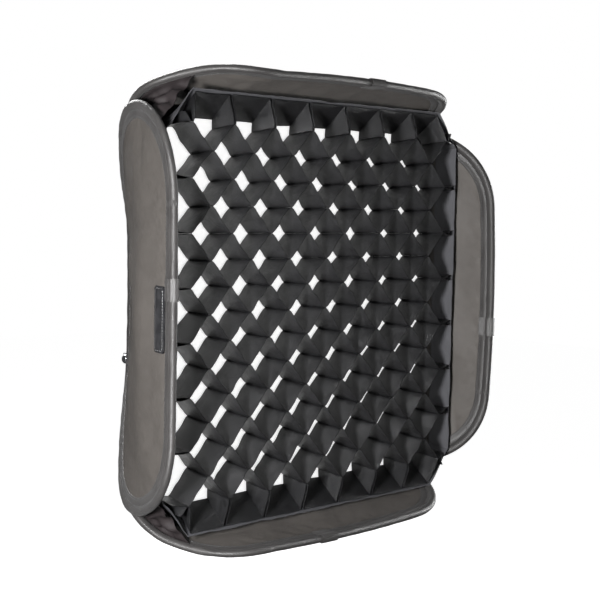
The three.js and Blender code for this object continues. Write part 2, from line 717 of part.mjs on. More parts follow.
// A gripped knob: a round body with flutes cut round its edge.
function flutedBody(radius, length, flutes, fluteRadius, axis, x, y, z) {
  const profile = [[0, 0], [radius - 1, 0], [radius, 1], [radius, length - 1], [radius - 1, length], [0, length]];
  const cuts = [];
  for (let i = 0; i < flutes; i += 1) {
    const angle = (i / flutes) * Math.PI * 2;
    const flute = new THREE.CylinderGeometry(fluteRadius, fluteRadius, length + 4, 6);
    const reach = radius + fluteRadius * 0.35;
    cuts.push(flute.translate(reach * Math.cos(angle), length / 2, reach * Math.sin(angle)));
  }
  const body = build([new THREE.LatheGeometry(profile.map((p) => new THREE.Vector2(...p)), flutes * 2)], cuts);
  return alongAxis(body, axis).translate(x, y, z);
}

function standLockKnob() {
  const shaft = rod(3, 12, 'y', 0, SOCKET.bore + 0.6, 22, 16);
  return build([flutedBody(14, 18, 6, 6, 'y', 0, SOCKET.radius + 1, 22), shaft]);
}

function umbrellaScrew() {
  const shaft = rod(2.5, 16, 'x', 4.7, 0, 60, 12);
  return build([flutedBody(8, 9, 8, 2, 'x', SOCKET.radius + 1, 0, 60), shaft]);
}

// Carriage that rides on the bar and carries the shoe.
function shoeCarriage() {
  const { y, length, half, topZ } = CARRIAGE;
  const barTop = ARM.barTopZ;
  const block = box(-half, half, y - length / 2, y + length / 2, barTop - 8, topZ);
  const cuts = [
    box(-ARM.barHalf - 0.4, ARM.barHalf + 0.4, y - 30, y + 30, barTop - ARM.thickness - 0.4, barTop + 0.4),
    box(-16, 16, y - 30, y + 30, barTop - 12, barTop),
    box(-7.6, 7.6, y - 30, y + 30, barTop, barTop + 4.8),
    rod(3.3, 12, '-x', -20, y, barTop - 2, 16),
  ];
  return build([block], cuts);
}

function carriageKnob() {
  const z = ARM.barTopZ - 2;
  const shaft = rod(3, 8, '-x', -ARM.barHalf - 0.4, CARRIAGE.y, z, 16);
  return build([flutedBody(11, 22, 10, 2.2, '-x', -CARRIAGE.half - 1, CARRIAGE.y, z), shaft]);
}

function carriageKnobCap() {
  const startX = -CARRIAGE.half - 1 - 22 - GAP;
  return turned([[0, 0], [7, 0], [7, 5.5], [5.5, 7.5], [0, 8]], '-x', startX, CARRIAGE.y, ARM.barTopZ - 2, 20);
}

// Accessory shoe: a bed with a low pad and two rails turned in over the flash's foot.
function coldShoe() {
  const { half, slotHalf, railHalf, baseTopZ, railTopZ } = SHOE;
  const y0 = CARRIAGE.y - half;
  const y1 = CARRIAGE.y + half;
  const base = box(-half, half, y0, y1, CARRIAGE.topZ + GAP, baseTopZ);
  const rails = [-1, 1].map((side) => box(
    Math.min(side * slotHalf, side * railHalf), Math.max(side * slotHalf, side * railHalf),
    y0 + 3, y1 - 3, baseTopZ - 1, railTopZ,
  ));
  const lips = [-1, 1].map((side) => box(
    Math.min(side * 6.6, side * railHalf), Math.max(side * 6.6, side * railHalf),
    y0 + 3, y1 - 3, baseTopZ + 2.4, railTopZ,
  ));
  const screwHole = rod(1.9, 12, 'x', 8, CARRIAGE.y, baseTopZ + 1.9, 12);
  return build([base, ...rails, ...lips], [screwHole]);
}

function shoeLockScrew() {
  const z = SHOE.baseTopZ + 1.9;
  const shaft = rod(1.6, 8, 'x', SHOE.slotHalf + 0.4, CARRIAGE.y, z, 12);
  return build([flutedBody(4.5, 6, 6, 1.5, 'x', SHOE.half + 0.6, CARRIAGE.y, z), shaft]);
}

// ---------------------------------------------------------------- assembly

const part = new THREE.Group();
const softbox = new THREE.Group();
softbox.position.set(0, GRID_FRONT_Y, LIGHT_AXIS_Z);
part.add(softbox);

function place(parent, name, geometry, look, turn = 0) {
  const mesh = new THREE.Mesh(geometry, look());
  mesh.name = name;
  mesh.rotation.y = turn;
  parent.add(mesh);
}

const [TOP, RIGHT, BOTTOM, LEFT] = SIDES;
for (const side of SIDES) {
  place(softbox, `wire_loop_${side.name}`, wireLoop(side), LOOKS.springSteel, side.turn);
  place(softbox, `binding_${side.name}`, bindingTape(side), LOOKS.tape, side.turn);
  place(softbox, `side_panel_${side.name}`, sidePanel(side), LOOKS.blackNylon, side.turn);
  place(softbox, `hook_tape_${side.name}`, hookTape(side), LOOKS.hookTape, side.turn);
}
const CORNERS = [
  ['top_right', TOP, RIGHT], ['bottom_right', RIGHT, BOTTOM],
  ['bottom_left', BOTTOM, LEFT], ['top_left', LEFT, TOP],
];
for (const [name, side, nextSide] of CORNERS) {
  place(softbox, `corner_gusset_${name}`, cornerGusset(side, nextSide), LOOKS.gussetCloth, side.turn);
}
place(softbox, 'side_patch', sidePatch(LEFT), LOOKS.plastic, LEFT.turn);
place(softbox, 'rear_panel', rearPanel(), LOOKS.blackNylon);
place(softbox, 'opening_hem', openingHem(), LOOKS.blackNylon);
place(softbox, 'inner_baffle', innerBaffle(), LOOKS.diffuserCloth);
place(softbox, 'front_diffuser', frontDiffuser(), LOOKS.diffuserCloth);
place(softbox, 'grid_border', gridBorder(), LOOKS.gridCloth);
place(softbox, 'grid_edge_strip_top', gridEdgeStrip(1), LOOKS.gridCloth);
place(softbox, 'grid_edge_strip_bottom', gridEdgeStrip(-1), LOOKS.gridCloth);
for (let index = 0; index < 2 * GRID_CELLS_ACROSS; index += 1) {
  const number = String(index + 1).padStart(2, '0');
  place(softbox, `grid_strip_${number}`, gridStrip(index), LOOKS.gridCloth);
}
place(softbox, 'mount_plate', mountPlate(), LOOKS.blackSteel);

place(part, 'bracket_pad', bracketPad(), LOOKS.rubber);
place(part, 'bracket_arm', bracketArm(), LOOKS.blackSteel);
place(part, 'plate_screw_left', plateScrew(-1), LOOKS.zinc);
place(part, 'plate_screw_right', plateScrew(1), LOOKS.zinc);
place(part, 'arm_bolt', armBolt(), LOOKS.zinc);
place(part, 'tilt_head_upper', tiltHeadUpper(), LOOKS.castBlack);
place(part, 'tilt_head_lower', tiltHeadLower(), LOOKS.castBlack);
place(part, 'tilt_bolt', tiltBolt(), LOOKS.zinc);
place(part, 'tilt_lever', tiltLever(), LOOKS.castBlack);
place(part, 'stand_lock_knob', standLockKnob(), LOOKS.plastic);
place(part, 'umbrella_screw', umbrellaScrew(), LOOKS.plastic);
place(part, 'shoe_carriage', shoeCarriage(), LOOKS.castBlack);
place(part, 'carriage_knob', carriageKnob(), LOOKS.plastic);
place(part, 'carriage_knob_cap', carriageKnobCap(), LOOKS.silver);
place(part, 'cold_shoe', coldShoe(), LOOKS.blackSteel);
place(part, 'shoe_lock_screw', shoeLockScrew(), LOOKS.zinc);

export default part;
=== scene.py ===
"""Looks of a square collapsible softbox with a fabric grid, on its shoe bracket and tilt head.

The softbox has a frame of its own, in millimetres: x to the right, depth back from the grid's
front plane, height up from the light axis. placed() takes its points to the part's frame.
"""
import collections
import json
import math

import bmesh
import bpy
import numpy as np
from mathutils import Matrix, Vector


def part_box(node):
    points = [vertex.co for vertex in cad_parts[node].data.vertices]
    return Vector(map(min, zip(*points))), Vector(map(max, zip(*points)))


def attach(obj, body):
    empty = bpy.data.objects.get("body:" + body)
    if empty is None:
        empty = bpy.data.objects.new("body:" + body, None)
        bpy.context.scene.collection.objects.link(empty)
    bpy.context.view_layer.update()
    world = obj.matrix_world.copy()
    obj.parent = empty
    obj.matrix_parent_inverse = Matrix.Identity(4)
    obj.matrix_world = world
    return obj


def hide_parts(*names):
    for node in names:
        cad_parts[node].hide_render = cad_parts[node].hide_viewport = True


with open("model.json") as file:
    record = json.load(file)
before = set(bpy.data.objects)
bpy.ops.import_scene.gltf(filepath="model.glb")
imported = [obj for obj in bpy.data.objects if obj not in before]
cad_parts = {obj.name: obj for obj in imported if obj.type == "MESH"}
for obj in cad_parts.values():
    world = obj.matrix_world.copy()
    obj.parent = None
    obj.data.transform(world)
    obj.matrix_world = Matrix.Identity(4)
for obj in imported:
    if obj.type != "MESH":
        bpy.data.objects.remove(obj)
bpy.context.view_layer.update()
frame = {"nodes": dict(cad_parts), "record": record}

# ---------------------------------------------------------------- driving sizes, in millimetres

MM = 0.001
GRID_LOW, GRID_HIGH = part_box("grid_border")
LIGHT_AXIS_Z = (GRID_LOW.z + GRID_HIGH.z) / 2
GRID_FRONT_Y = GRID_LOW.y

# Each wall is shaped as the top one and turned about the light axis, and each hangs its own way.
# lift raises the lip and bulge its middle. At one end, +1 or -1, corner raises it and reach makes
# it longer, which dies away over the depths of fade. twist raises the +x end behind the grid.
Side = collections.namedtuple("Side", "turn lift bulge end corner reach fade twist")
SIDES = {
    "top": Side(0.0, -1.0, 6.5, -1, 16.0, 0.0, (50, 230), 0.0),
    "right": Side(math.pi / 2, -3.0, 0.0, 1, 0.0, 0.0, (20, 90), 0.0),
    "bottom": Side(math.pi, 0.0, 4.0, 1, 9.0, 0.0, (20, 90), 0.0),
    "left": Side(-math.pi / 2, 0.0, 0.0, 1, 0.0, 8.0, (50, 230), 3.0),
}
CORNERS = {
    "top_right": ("top", "right"),
    "bottom_right": ("right", "bottom"),
    "bottom_left": ("bottom", "left"),
    "top_left": ("left", "top"),
}

WALL_FRONT = -41.0
WALL_REAR = 290.0
WALL_BOW = 13.0
CORNER_ACROSS = 138.0
CORNER_ALONG = 150.0
REAR_CORNER = 25.0
SEAM_GAP = 8.0
SEAM_STATIONS = [(-80, 291), (0, 275), (100, 249), (180, 199), (290, 112)]
MIDDLE_STATIONS = [(-80, 298), (0, 280), (100, 238), (200, 170), (290, 110)]

WIRE_RADIUS = 1.75
PANEL_THICKNESS = 0.8
PANEL_INSET = 6.0
STITCH_LENGTH = 3.4
STITCH_PITCH = 5.0
STITCH_RADIUS = 0.42

GRID_CELL = 66.2
GRID_CELLS = 7
GRID_DEPTH = 36.0
GRID_PROUD = 10.0
GRID_TAPER_X = 0.990
GRID_TAPER_Z = 0.984
GRID_BOW = 8.0
GRID_HALF = 264.5
BORDER_DROOP = 16.0
BORDER_FLARE = 9.0
NODE_HALF = 1.6
STRIP_BEND = 0.07
END_LOOP = 3.0
STRIP_THICKNESS = 0.6
STRIP_OFFSET = 0.33
BORDER_THICKNESS = 1.2
CORNER_LEG = 40.0

DIFFUSER_HALF = 255.5
DIFFUSER_LEG = 36.0
DIFFUSER_DEPTH = 47.0
DIFFUSER_HEM = 16.0
BAFFLE_DEPTH = 165.0
REAR_HALF = 107.0
REAR_DEPTH = 288.0
OPENING_WIDE = 122.0
OPENING_TALL = 98.0
PATCH_DEPTH = -15.5

CAMERA_AZIMUTH = 42.85
CAMERA_ELEVATION = -4.35
CAMERA_ROLL = 1.05
CAMERA_PLACE = (-1.1163, -1.5158, 0.3639)
CAMERA_LENS = 72.48
WORLD_LIGHT = 0.07
WHITE = (1.0, 1.0, 1.0)
WAVE_PERIOD = 0.314  # the Wave texture's own period at a scale of 1


# ---------------------------------------------------------------- general helpers


def smooth_profile(stations):
    """A smooth curve height(depth) through a few stations."""
    xs, ys = np.array(stations, float).T
    padded_x = np.concatenate([xs[:1], xs, xs[-1:]])
    padded_y = np.concatenate([ys[:1], ys, ys[-1:]])
    slopes = (padded_y[2:] - padded_y[:-2]) / (padded_x[2:] - padded_x[:-2])

    def height(depth):
        depth = np.asarray(depth, float)
        i = np.clip(np.searchsorted(xs, depth, side="right") - 1, 0, len(xs) - 2)
        span = xs[i + 1] - xs[i]
        t = (depth - xs[i]) / span
        rise = (3 - 2 * t) * t * t
        leave = t * (1 - t) ** 2 * slopes[i]
        arrive = t * t * (t - 1) * slopes[i + 1]
        return ys[i] + (ys[i + 1] - ys[i]) * rise + span * (leave + arrive)

    return height


seam_height = smooth_profile(SEAM_STATIONS)
middle_height = smooth_profile(MIDDLE_STATIONS)


def placed(points, turn=0.0):
    """Softbox points (x, depth, height), turned about the light axis, in the part's metres."""
    x, depth, height = np.moveaxis(np.asarray(points, float), -1, 0)
    cos, sin = math.cos(turn), math.sin(turn)
    return np.stack(
        [
            (x * cos + height * sin) * MM,
            GRID_FRONT_Y + depth * MM,
            LIGHT_AXIS_Z + (height * cos - x * sin) * MM,
        ],
        -1,
    )


def unit(vectors):
    """Vectors of length one."""
    return vectors / np.maximum(np.linalg.norm(vectors, axis=-1, keepdims=True), 1e-12)


def ripple(u, v, seed, size, waves=9):
    """Smooth seeded unevenness of about -1 to 1 over a surface, with bumps of about size."""
    draws = np.random.default_rng(seed)
    total = np.zeros(np.broadcast(u, v).shape)
    for _ in range(waves):
        angle = draws.uniform(0, 2 * math.pi)
        wave = 2 * math.pi / size * draws.uniform(0.5, 1.4)
        phase = draws.uniform(0, 2 * math.pi)
        total += np.sin(wave * (u * math.cos(angle) + v * math.sin(angle)) + phase)
    return total / math.sqrt(waves)


def make_piece(name, body, shape, slot, nodes=(), turn=0.0, sharp=40, look=None):
    """A piece from points, faces and uv that rides on a body and stands for CAD nodes."""
    points, faces, uv = shape
    mesh = bpy.data.meshes.new(name)
    mesh.from_pydata([tuple(p) for p in placed(points, turn)], [], faces)
    layer = mesh.uv_layers.new(name="cloth")
    corners = np.empty(len(mesh.loops), int)
    mesh.loops.foreach_get("vertex_index", corners)
    layer.data.foreach_set("uv", np.asarray(uv, float)[corners].ravel())
    mesh.validate()
    mesh.shade_smooth()
    mesh.set_sharp_from_angle(angle=math.radians(sharp))
    mesh.materials.append(LOOKS[look or slot])
    piece = bpy.data.objects.new(name, mesh)
    bpy.context.scene.collection.objects.link(piece)
    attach(piece, body)
    if nodes:
        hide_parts(*nodes)
    return piece


def run_along(points):
    """The distance of each point of a line from its start."""
    return np.concatenate([[0], np.cumsum(np.linalg.norm(np.diff(points, axis=0), axis=-1))])


def surface_normals(rows):
    """Normals of a sheet given as rows of points."""
    along = np.gradient(rows, axis=0)
    across = np.gradient(rows, axis=1)
    return unit(np.cross(across, along))


def measured_uv(rows):
    """Distances across and along a sheet, in metres, for weaves that follow the cloth."""
    across = np.linalg.norm(np.diff(rows, axis=1), axis=-1)
    u = np.concatenate([np.zeros((len(rows), 1)), np.cumsum(across, 1)], 1)
    u -= u[:, -1:] / 2
    v = run_along(rows[:, rows.shape[1] // 2])[:, None] + np.zeros_like(u)
    return np.stack([u, v], -1) * MM


def thick_sheet(rows, thickness):
    """Points, faces and uv of a closed sheet with cloth on both sides of rows of points."""
    count, width = rows.shape[:2]
    offset = surface_normals(rows) * thickness / 2
    points = np.concatenate([(rows + offset).reshape(-1, 3), (rows - offset).reshape(-1, 3)])
    uv = np.tile(measured_uv(rows).reshape(-1, 2), (2, 1))
    index = np.arange(count * width).reshape(count, width)
    under = count * width
    faces = []
    for i in range(count - 1):
        for j in range(width - 1):
            a, b = int(index[i, j]), int(index[i, j + 1])
            c, d = int(index[i + 1, j + 1]), int(index[i + 1, j])
            faces.append((a, b, c, d))
            faces.append((a + under, d + under, c + under, b + under))
    rim = [*index[0], *index[1:, -1], *index[-1, -2::-1], *index[-2:0:-1, 0]]
    rim = [int(i) for i in rim]
    for here, ahead in zip(rim, rim[1:] + rim[:1]):
        faces.append((ahead, here, here + under, ahead + under))
    return points, faces, uv


def swept_ring(rings):
    """Points, faces and uv of a closed section swept round a closed line."""
    count, sides = rings.shape[:2]
    here = np.arange(count * sides).reshape(count, sides)
    ahead = np.roll(here, -1, 0)
    corners = np.stack([here, np.roll(here, -1, 1), np.roll(ahead, -1, 1), ahead], -1)
    faces = [tuple(face) for face in corners.reshape(-1, 4).tolist()]
    uv = np.stack(np.meshgrid(run_along(rings[:, 0]), run_along(rings[0]), indexing="ij"), -1)
    return rings.reshape(-1, 3), faces, uv.reshape(-1, 2) * MM


def join_shapes(shapes):
    """One points, faces, uv triple from several."""
    points, faces, uvs, start = [], [], [], 0
    for some_points, some_faces, some_uv in shapes:
        points.append(some_points)
        uvs.append(some_uv)
        faces.extend(tuple(i + start for i in face) for face in some_faces)
        start += len(some_points)
    return np.concatenate(points), faces, np.concatenate(uvs)


# ---------------------------------------------------------------- materials


def new_material(name, colour, roughness, metallic=0.0):
    """Adds a look with a Principled shader; returns its node tree and the shader."""
    material = bpy.data.materials.new(name)
    material.use_nodes = True
    LOOKS[name] = material
    tree = material.node_tree
    shader = tree.nodes["Principled BSDF"]
    values = {"Base Color": colour, "Roughness": roughness, "Metallic": metallic}
    set_inputs(tree, shader, values)
    return tree, shader


def feed(tree, socket, value):
    """Gives a socket a number, a colour or another node's output."""
    if isinstance(value, bpy.types.NodeSocket):
        tree.links.new(value, socket)
    else:
        socket.default_value = (*value, 1) if isinstance(value, tuple) else value


def set_inputs(tree, node, values):
    for name, value in values.items():
        feed(tree, node.inputs[name], value)


def add_node(tree, kind, **values):
    """A node with its inputs fed and its settings set by name."""
    node = tree.nodes.new(kind)
    for key, value in values.items():
        if key in node.inputs:
            feed(tree, node.inputs[key], value)
        else:
            setattr(node, key, value)
    return node


def math_node(tree, operation, first, second):
    """A Math node between two outputs or numbers."""
    node = add_node(tree, "ShaderNodeMath", operation=operation)
    feed(tree, node.inputs[0], first)
    feed(tree, node.inputs[1], second)
    return node.outputs[0]


def colour_mix(tree, share, first, second):
    """A colour between two, by a share from 0 to 1."""
    node = add_node(tree, "ShaderNodeMix", data_type="RGBA")
    for socket, value in ((0, share), (6, first), (7, second)):
        feed(tree, node.inputs[socket], value)
    return node.outputs[2]


def ranged(tree, value, low, high, to_low=0.0, to_high=1.0):
    """A value taken from one range to another and clamped."""
    limits = {"From Min": low, "From Max": high, "To Min": to_low, "To Max": to_high}
    return add_node(tree, "ShaderNodeMapRange", Value=value, **limits).outputs["Result"]


def object_place(tree):
    return tree.nodes.new("ShaderNodeTexCoord").outputs["Object"]


def noise_value(tree, size, detail=4.0):
    """Noise with features of about size metres."""
    noise = add_node(
        tree, "ShaderNodeTexNoise", Vector=object_place(tree), Scale=1 / size, Detail=detail,
        Roughness=0.55,
    )
    return noise.outputs["Fac"]


def wave_value(tree, pitch, **settings):
    """Bands a pitch apart, in metres, in cloth coordinates."""
    place = add_node(tree, "ShaderNodeUVMap", uv_map="cloth").outputs["UV"]
    scale = WAVE_PERIOD / pitch
    return add_node(tree, "ShaderNodeTexWave", Vector=place, Scale=scale, **settings).outputs["Fac"]


def weave_value(tree, pitch):
    """A plain weave: threads over and under each other, in cloth coordinates."""
    waves = [wave_value(tree, pitch, bands_direction=direction) for direction in "XY"]
    return math_node(tree, "MULTIPLY", *waves)


def add_bump(tree, shader, height, strength, distance):
    bump = add_node(tree, "ShaderNodeBump", Strength=strength, Distance=distance, Height=height)
    tree.links.new(bump.outputs[0], shader.inputs["Normal"])


def cloth_material(name, dark, light, pitch, roughness, gloss, crease=0.35):
    """Woven cloth: weave, faint crease lines and patchy colour."""
    tree, shader = new_material(name, light, roughness)
    grime = noise_value(tree, 0.009, detail=6)
    patches = math_node(tree, "ADD", noise_value(tree, 0.055), grime)
    tone = colour_mix(tree, ranged(tree, patches, 0.7, 1.3), dark, light)
    weave = weave_value(tree, pitch)
    gaps = tuple(0.72 * c for c in dark)
    set_inputs(tree, shader, {
        "Specular IOR Level": gloss,
        "Base Color": colour_mix(tree, ranged(tree, weave, 0, 0.6), gaps, tone),
        "Roughness": ranged(tree, grime, 0.3, 0.7, roughness - 0.06, roughness + 0.08),
    })
    threads = math_node(tree, "MULTIPLY", weave, 0.25)
    creases = noise_value(tree, 0.02, detail=3)
    add_bump(tree, shader, math_node(tree, "ADD", threads, creases), crease, 0.0012)


def tape_material(name, dark, light):
    """Ribbed tape or thread: fine ribs across it, a fuzzy surface and paler worn ribs."""
    tree, shader = new_material(name, light, 0.68)
    ribs = wave_value(tree, 0.0011, Distortion=0.6)
    patches = noise_value(tree, 0.03, detail=5)
    share = math_node(tree, "MULTIPLY", ranged(tree, patches, 0.3, 0.7, 0.4, 1.0), ribs)
    set_inputs(tree, shader, {
        "Sheen Weight": 0.03,
        "Sheen Roughness": 0.5,
        "Specular IOR Level": 0.5,
        "Base Color": colour_mix(tree, share, dark, light),
        "Roughness": ranged(tree, patches, 0.3, 0.7, 0.40, 0.55),
    })
    fuzz = noise_value(tree, 0.0016, detail=2)
    add_bump(tree, shader, math_node(tree, "ADD", ribs, fuzz), 0.5, 0.0004)


def diffuser_material(name, painted_glow):
    """White translucent nylon with a painted glow: emission stands in for the flash lighting it
    from behind. Weave and faint painted shadows.
    """
    tree, shader = new_material(name, (0.92, 0.92, 0.92), 0.75)
    weave = weave_value(tree, 0.0009)
    patches = ranged(tree, noise_value(tree, 0.08), 0.3, 0.7, 0.7, 1.0)
    share = math_node(tree, "MULTIPLY", patches, weave)
    tone = colour_mix(tree, share, (0.86, 0.86, 0.855), (0.96, 0.96, 0.96))
    # The emission in the cloth's own tone is painted light, a glow that stands in for the flash
    # behind it.
    set_inputs(tree, shader, {
        "Sheen Weight": 0.2,
        "Base Color": tone,
        "Emission Color": tone,
        "Emission Strength": painted_glow,
    })
    add_bump(tree, shader, weave, 0.3, 0.0003)


def metal_material(name, colour, roughness, metallic, worn, grain=0.0015):
    """Painted, plated or bare metal: fine grain and paler, smoother rubbed places."""
    tree, shader = new_material(name, colour, roughness, metallic)
    patches = noise_value(tree, 0.018, detail=6)
    pointed = tree.nodes.new("ShaderNodeNewGeometry").outputs["Pointiness"]
    edges = ranged(tree, pointed, 0.52, 0.6)
    rub = math_node(tree, "MULTIPLY", edges, ranged(tree, patches, 0.4, 0.6))
    set_inputs(tree, shader, {
        "Base Color": colour_mix(tree, rub, colour, worn),
        "Roughness": ranged(tree, patches, 0.3, 0.7, roughness - 0.08, roughness + 0.1),
    })
    add_bump(tree, shader, noise_value(tree, grain, detail=3), 0.25, 0.0002)


def plastic_material(name, colour, roughness, pitch=0.0012):
    """Moulded plastic with a fine spark-eroded grain and handled, shinier places."""
    tree, shader = new_material(name, colour, roughness)
    patches = noise_value(tree, 0.012, detail=5)
    pale = tuple(min(1.0, 1.8 * c + 0.01) for c in colour)
    set_inputs(tree, shader, {
        "Base Color": colour_mix(tree, ranged(tree, patches, 0.45, 0.75), colour, pale),
        "Roughness": ranged(tree, patches, 0.3, 0.7, roughness - 0.1, roughness + 0.08),
    })
    grain = add_node(tree, "ShaderNodeTexVoronoi", Vector=object_place(tree), Scale=1 / pitch)
    add_bump(tree, shader, grain.outputs["Distance"], 0.35, 0.00025)


def hook_material(name):
    """Hook tape: a dense field of tiny hooks."""
    tree, shader = new_material(name, (0.012, 0.012, 0.012), 0.9)
    hooks = add_node(tree, "ShaderNodeTexVoronoi", Vector=object_place(tree), Scale=1 / 0.0013)
    share = ranged(tree, hooks.outputs["Distance"], 0.1, 0.6)
    tone = colour_mix(tree, share, (0.05, 0.05, 0.052), (0.008, 0.008, 0.008))
    feed(tree, shader.inputs["Base Color"], tone)
    add_bump(tree, shader, math_node(tree, "MULTIPLY", share, -1.0), 0.8, 0.0008)


# Each material by its name. A piece wears the one named as its slot, unless it says otherwise.
LOOKS = {}
cloth_material("black_nylon", (0.054, 0.049, 0.045), (0.080, 0.073, 0.067), 0.0007, 0.5, 0.22)
cloth_material("gusset_cloth", (0.012, 0.0095, 0.010), (0.024, 0.019, 0.020), 0.0008, 0.6, 0.2)
cloth_material(
    "grid_cloth", (0.006, 0.006, 0.0065), (0.026, 0.026, 0.028), 0.0006, 0.34, 0.32, crease=0.7,
)
cloth_material("border_cloth", (0.046, 0.046, 0.050), (0.064, 0.064, 0.070), 0.0007, 0.5, 0.2)
tape_material("binding_tape", (0.014, 0.013, 0.013), (0.036, 0.034, 0.033))
tape_material("sewing_thread", (0.03, 0.03, 0.03), (0.07, 0.068, 0.066))
# The diffuser and the baffle glow by emission: painted light that stands in for the flash behind
# them.
diffuser_material("diffuser_cloth", 0.95)
diffuser_material("baffle_cloth", 0.15)
hook_material("hook_tape")
metal_material("spring_steel", (0.35, 0.35, 0.36), 0.35, 1.0, (0.55, 0.55, 0.56))
metal_material("black_steel", (0.020, 0.020, 0.021), 0.42, 0.3, (0.12, 0.12, 0.12))
metal_material("zinc_steel", (0.50, 0.51, 0.53), 0.34, 1.0, (0.68, 0.68, 0.7))
metal_material("cast_black", (0.022, 0.022, 0.024), 0.5, 0.2, (0.09, 0.09, 0.09), 0.0022)
metal_material("silver_cap", (0.58, 0.60, 0.63), 0.26, 1.0, (0.78, 0.78, 0.8))
plastic_material("black_plastic", (0.020, 0.020, 0.021), 0.5)
plastic_material("pad_rubber", (0.012, 0.012, 0.012), 0.85, 0.002)
plastic_material("patch", (0.009, 0.009, 0.010), 0.4, 0.0016)


# ---------------------------------------------------------------- camera, lights and floor


def make_camera():
    azimuth, elevation, roll = (
        math.radians(a) for a in (CAMERA_AZIMUTH, CAMERA_ELEVATION, CAMERA_ROLL)
    )
    forward = Vector((
        math.sin(azimuth) * math.cos(elevation),
        math.cos(azimuth) * math.cos(elevation),
        math.sin(elevation),
    ))
    right = Vector((math.cos(azimuth), -math.sin(azimuth), 0))
    up = right.cross(forward)
    right, up = (
        right * math.cos(roll) + up * math.sin(roll),
        up * math.cos(roll) - right * math.sin(roll),
    )
    camera = bpy.data.objects.new("camera", bpy.data.cameras.new("camera"))
    camera.data.lens = CAMERA_LENS
    camera.data.sensor_width = 36
    camera.data.clip_start = 0.05
    turn = Matrix((right, up, -forward)).transposed().to_4x4()
    camera.matrix_world = Matrix.Translation(CAMERA_PLACE) @ turn
    bpy.context.scene.collection.objects.link(camera)
    bpy.context.scene.camera = camera


def make_lamp(name, place, target, size, power):
    lamp = bpy.data.lights.new(name, "AREA")
    lamp.shape = "DISK"
    lamp.size = size
    lamp.energy = power
    holder = bpy.data.objects.new(name, lamp)
    holder.location = place
    aim = Vector(target) - Vector(place)
    holder.rotation_euler = aim.to_track_quat("-Z", "Y").to_euler()
    holder.visible_camera = False
    bpy.context.scene.collection.objects.link(holder)


def make_studio():
    """White surroundings and soft light mostly from the front left."""
    centre = (0, GRID_FRONT_Y, LIGHT_AXIS_Z)
    make_lamp("key_left", (-1.12, -0.92, 0.27), centre, 0.25, 54)
    make_lamp("fill_front", (-0.70, -1.55, 0.25), centre, 0.3, 3)
    make_lamp("overhead", (0.2, 0.5, 2.4), (0, 0, 0.2), 1.8, 8)
    make_lamp("fill_right", (1.8, -0.5, 0.25), centre, 1.0, 32)
    make_lamp("behind", (0.8, 1.9, 1.4), (0, 0, 0.15), 1.2, 75)
    world = bpy.data.worlds.new("studio")
    world.use_nodes = True
    tree = world.node_tree
    seen = tree.nodes["Background"]
    set_inputs(tree, seen, {"Color": WHITE, "Strength": 1.0})
    lighting = add_node(tree, "ShaderNodeBackground", Color=WHITE, Strength=WORLD_LIGHT)
    mix = tree.nodes.new("ShaderNodeMixShader")
    straight = tree.nodes.new("ShaderNodeLightPath").outputs["Is Camera Ray"]
    for socket, value in zip(mix.inputs, (straight, lighting.outputs[0], seen.outputs[0])):
        feed(tree, socket, value)
    feed(tree, tree.nodes["World Output"].inputs["Surface"], mix.outputs[0])
    bpy.context.scene.world = world
    bpy.context.scene.view_settings.view_transform = "Standard"


def make_floor():
    """A pale floor that is seen but throws no light up at the softbox."""
    tree, shader = new_material("pale_floor", (0.9, 0.9, 0.9), 0.9)
    set_inputs(tree, shader, {"Emission Color": WHITE, "Emission Strength": 0.93})
    mesh = bpy.data.meshes.new("floor")
    reach, height = 9.0, -0.95
    corners = [(-reach, -reach), (reach, -reach), (reach, reach), (-reach, reach)]
    mesh.from_pydata([(x, y, height) for x, y in corners], [], [(0, 1, 2, 3)])
    mesh.materials.append(LOOKS["pale_floor"])
    floor = bpy.data.objects.new("floor", mesh)
    bpy.context.scene.collection.objects.link(floor)
    floor.visible_diffuse = False
    floor.visible_glossy = False


# ---------------------------------------------------------------- wall shape


def smooth_step(value, start, end):
    """0 before a start, 1 past an end, and smooth between."""
    share = np.clip((value - start) / (end - start), 0, 1)
    return share * share * (3 - 2 * share)


def wall_half_width(depth, inset):
    """Half the width of a wall at a depth, inside its rounded corners and a given inset."""
    depth = np.asarray(depth, float)
    slope = (seam_height(depth + 1) - seam_height(depth - 1)) / 2
    slant = np.sqrt((1 + 2 * slope**2) / (1 + slope**2))
    along, across = CORNER_ALONG - inset, CORNER_ACROSS - inset
    rear_corner = max(4.0, REAR_CORNER - inset)
    half = seam_height(depth) - SEAM_GAP - inset * slant
    front_reach = np.clip((WALL_FRONT + inset + along - depth) / along, 0, 1)
    half = half - across * (1 - np.sqrt(1 - front_reach**2))
    rear_reach = np.clip((depth - (WALL_REAR - inset) + rear_corner) / rear_corner, 0, 1)
    return half - rear_corner * (1 - np.sqrt(1 - rear_reach**2))


def near_corner(side, across, depth):
    """1 at a wall's raised corner, falling to 0 along the lip and towards the rear."""
    return smooth_step(across * side.end, 120, 250) * (1 - smooth_step(depth, *side.fade))


def hang(side, across, depth, share):
    """How much higher one wall hangs at a point than the common shape."""
    lip = 1 - smooth_step(depth, -20, 190)
    behind = smooth_step(depth, 30, 130) * (1 - smooth_step(depth, 200, 290))
    return (
        side.lift * lip
        + side.bulge * lip * (1 - share**2)
        + side.corner * near_corner(side, across, depth)
        + side.twist * np.clip(across / 200, 0, 1) * behind
    )


def wall_point(side, across, depth):
    """The point on a wall's middle surface, before turning."""
    across, depth = np.broadcast_arrays(np.asarray(across, float), np.asarray(depth, float))
    seam = seam_height(depth)
    share = np.minimum(1, np.abs(across / seam))
    height = seam + (middle_height(depth) - seam) * (1 - share**2)
    height = height + hang(side, across, depth, share)
    fade = np.clip(1 - (depth - WALL_FRONT) / 60, 0, 1)
    bow = WALL_BOW * fade * (1 - (across / seam_height(WALL_FRONT)) ** 2)
    longer = side.end * side.reach * near_corner(side, across, depth)
    return np.stack([across + longer, depth - bow, height], -1)


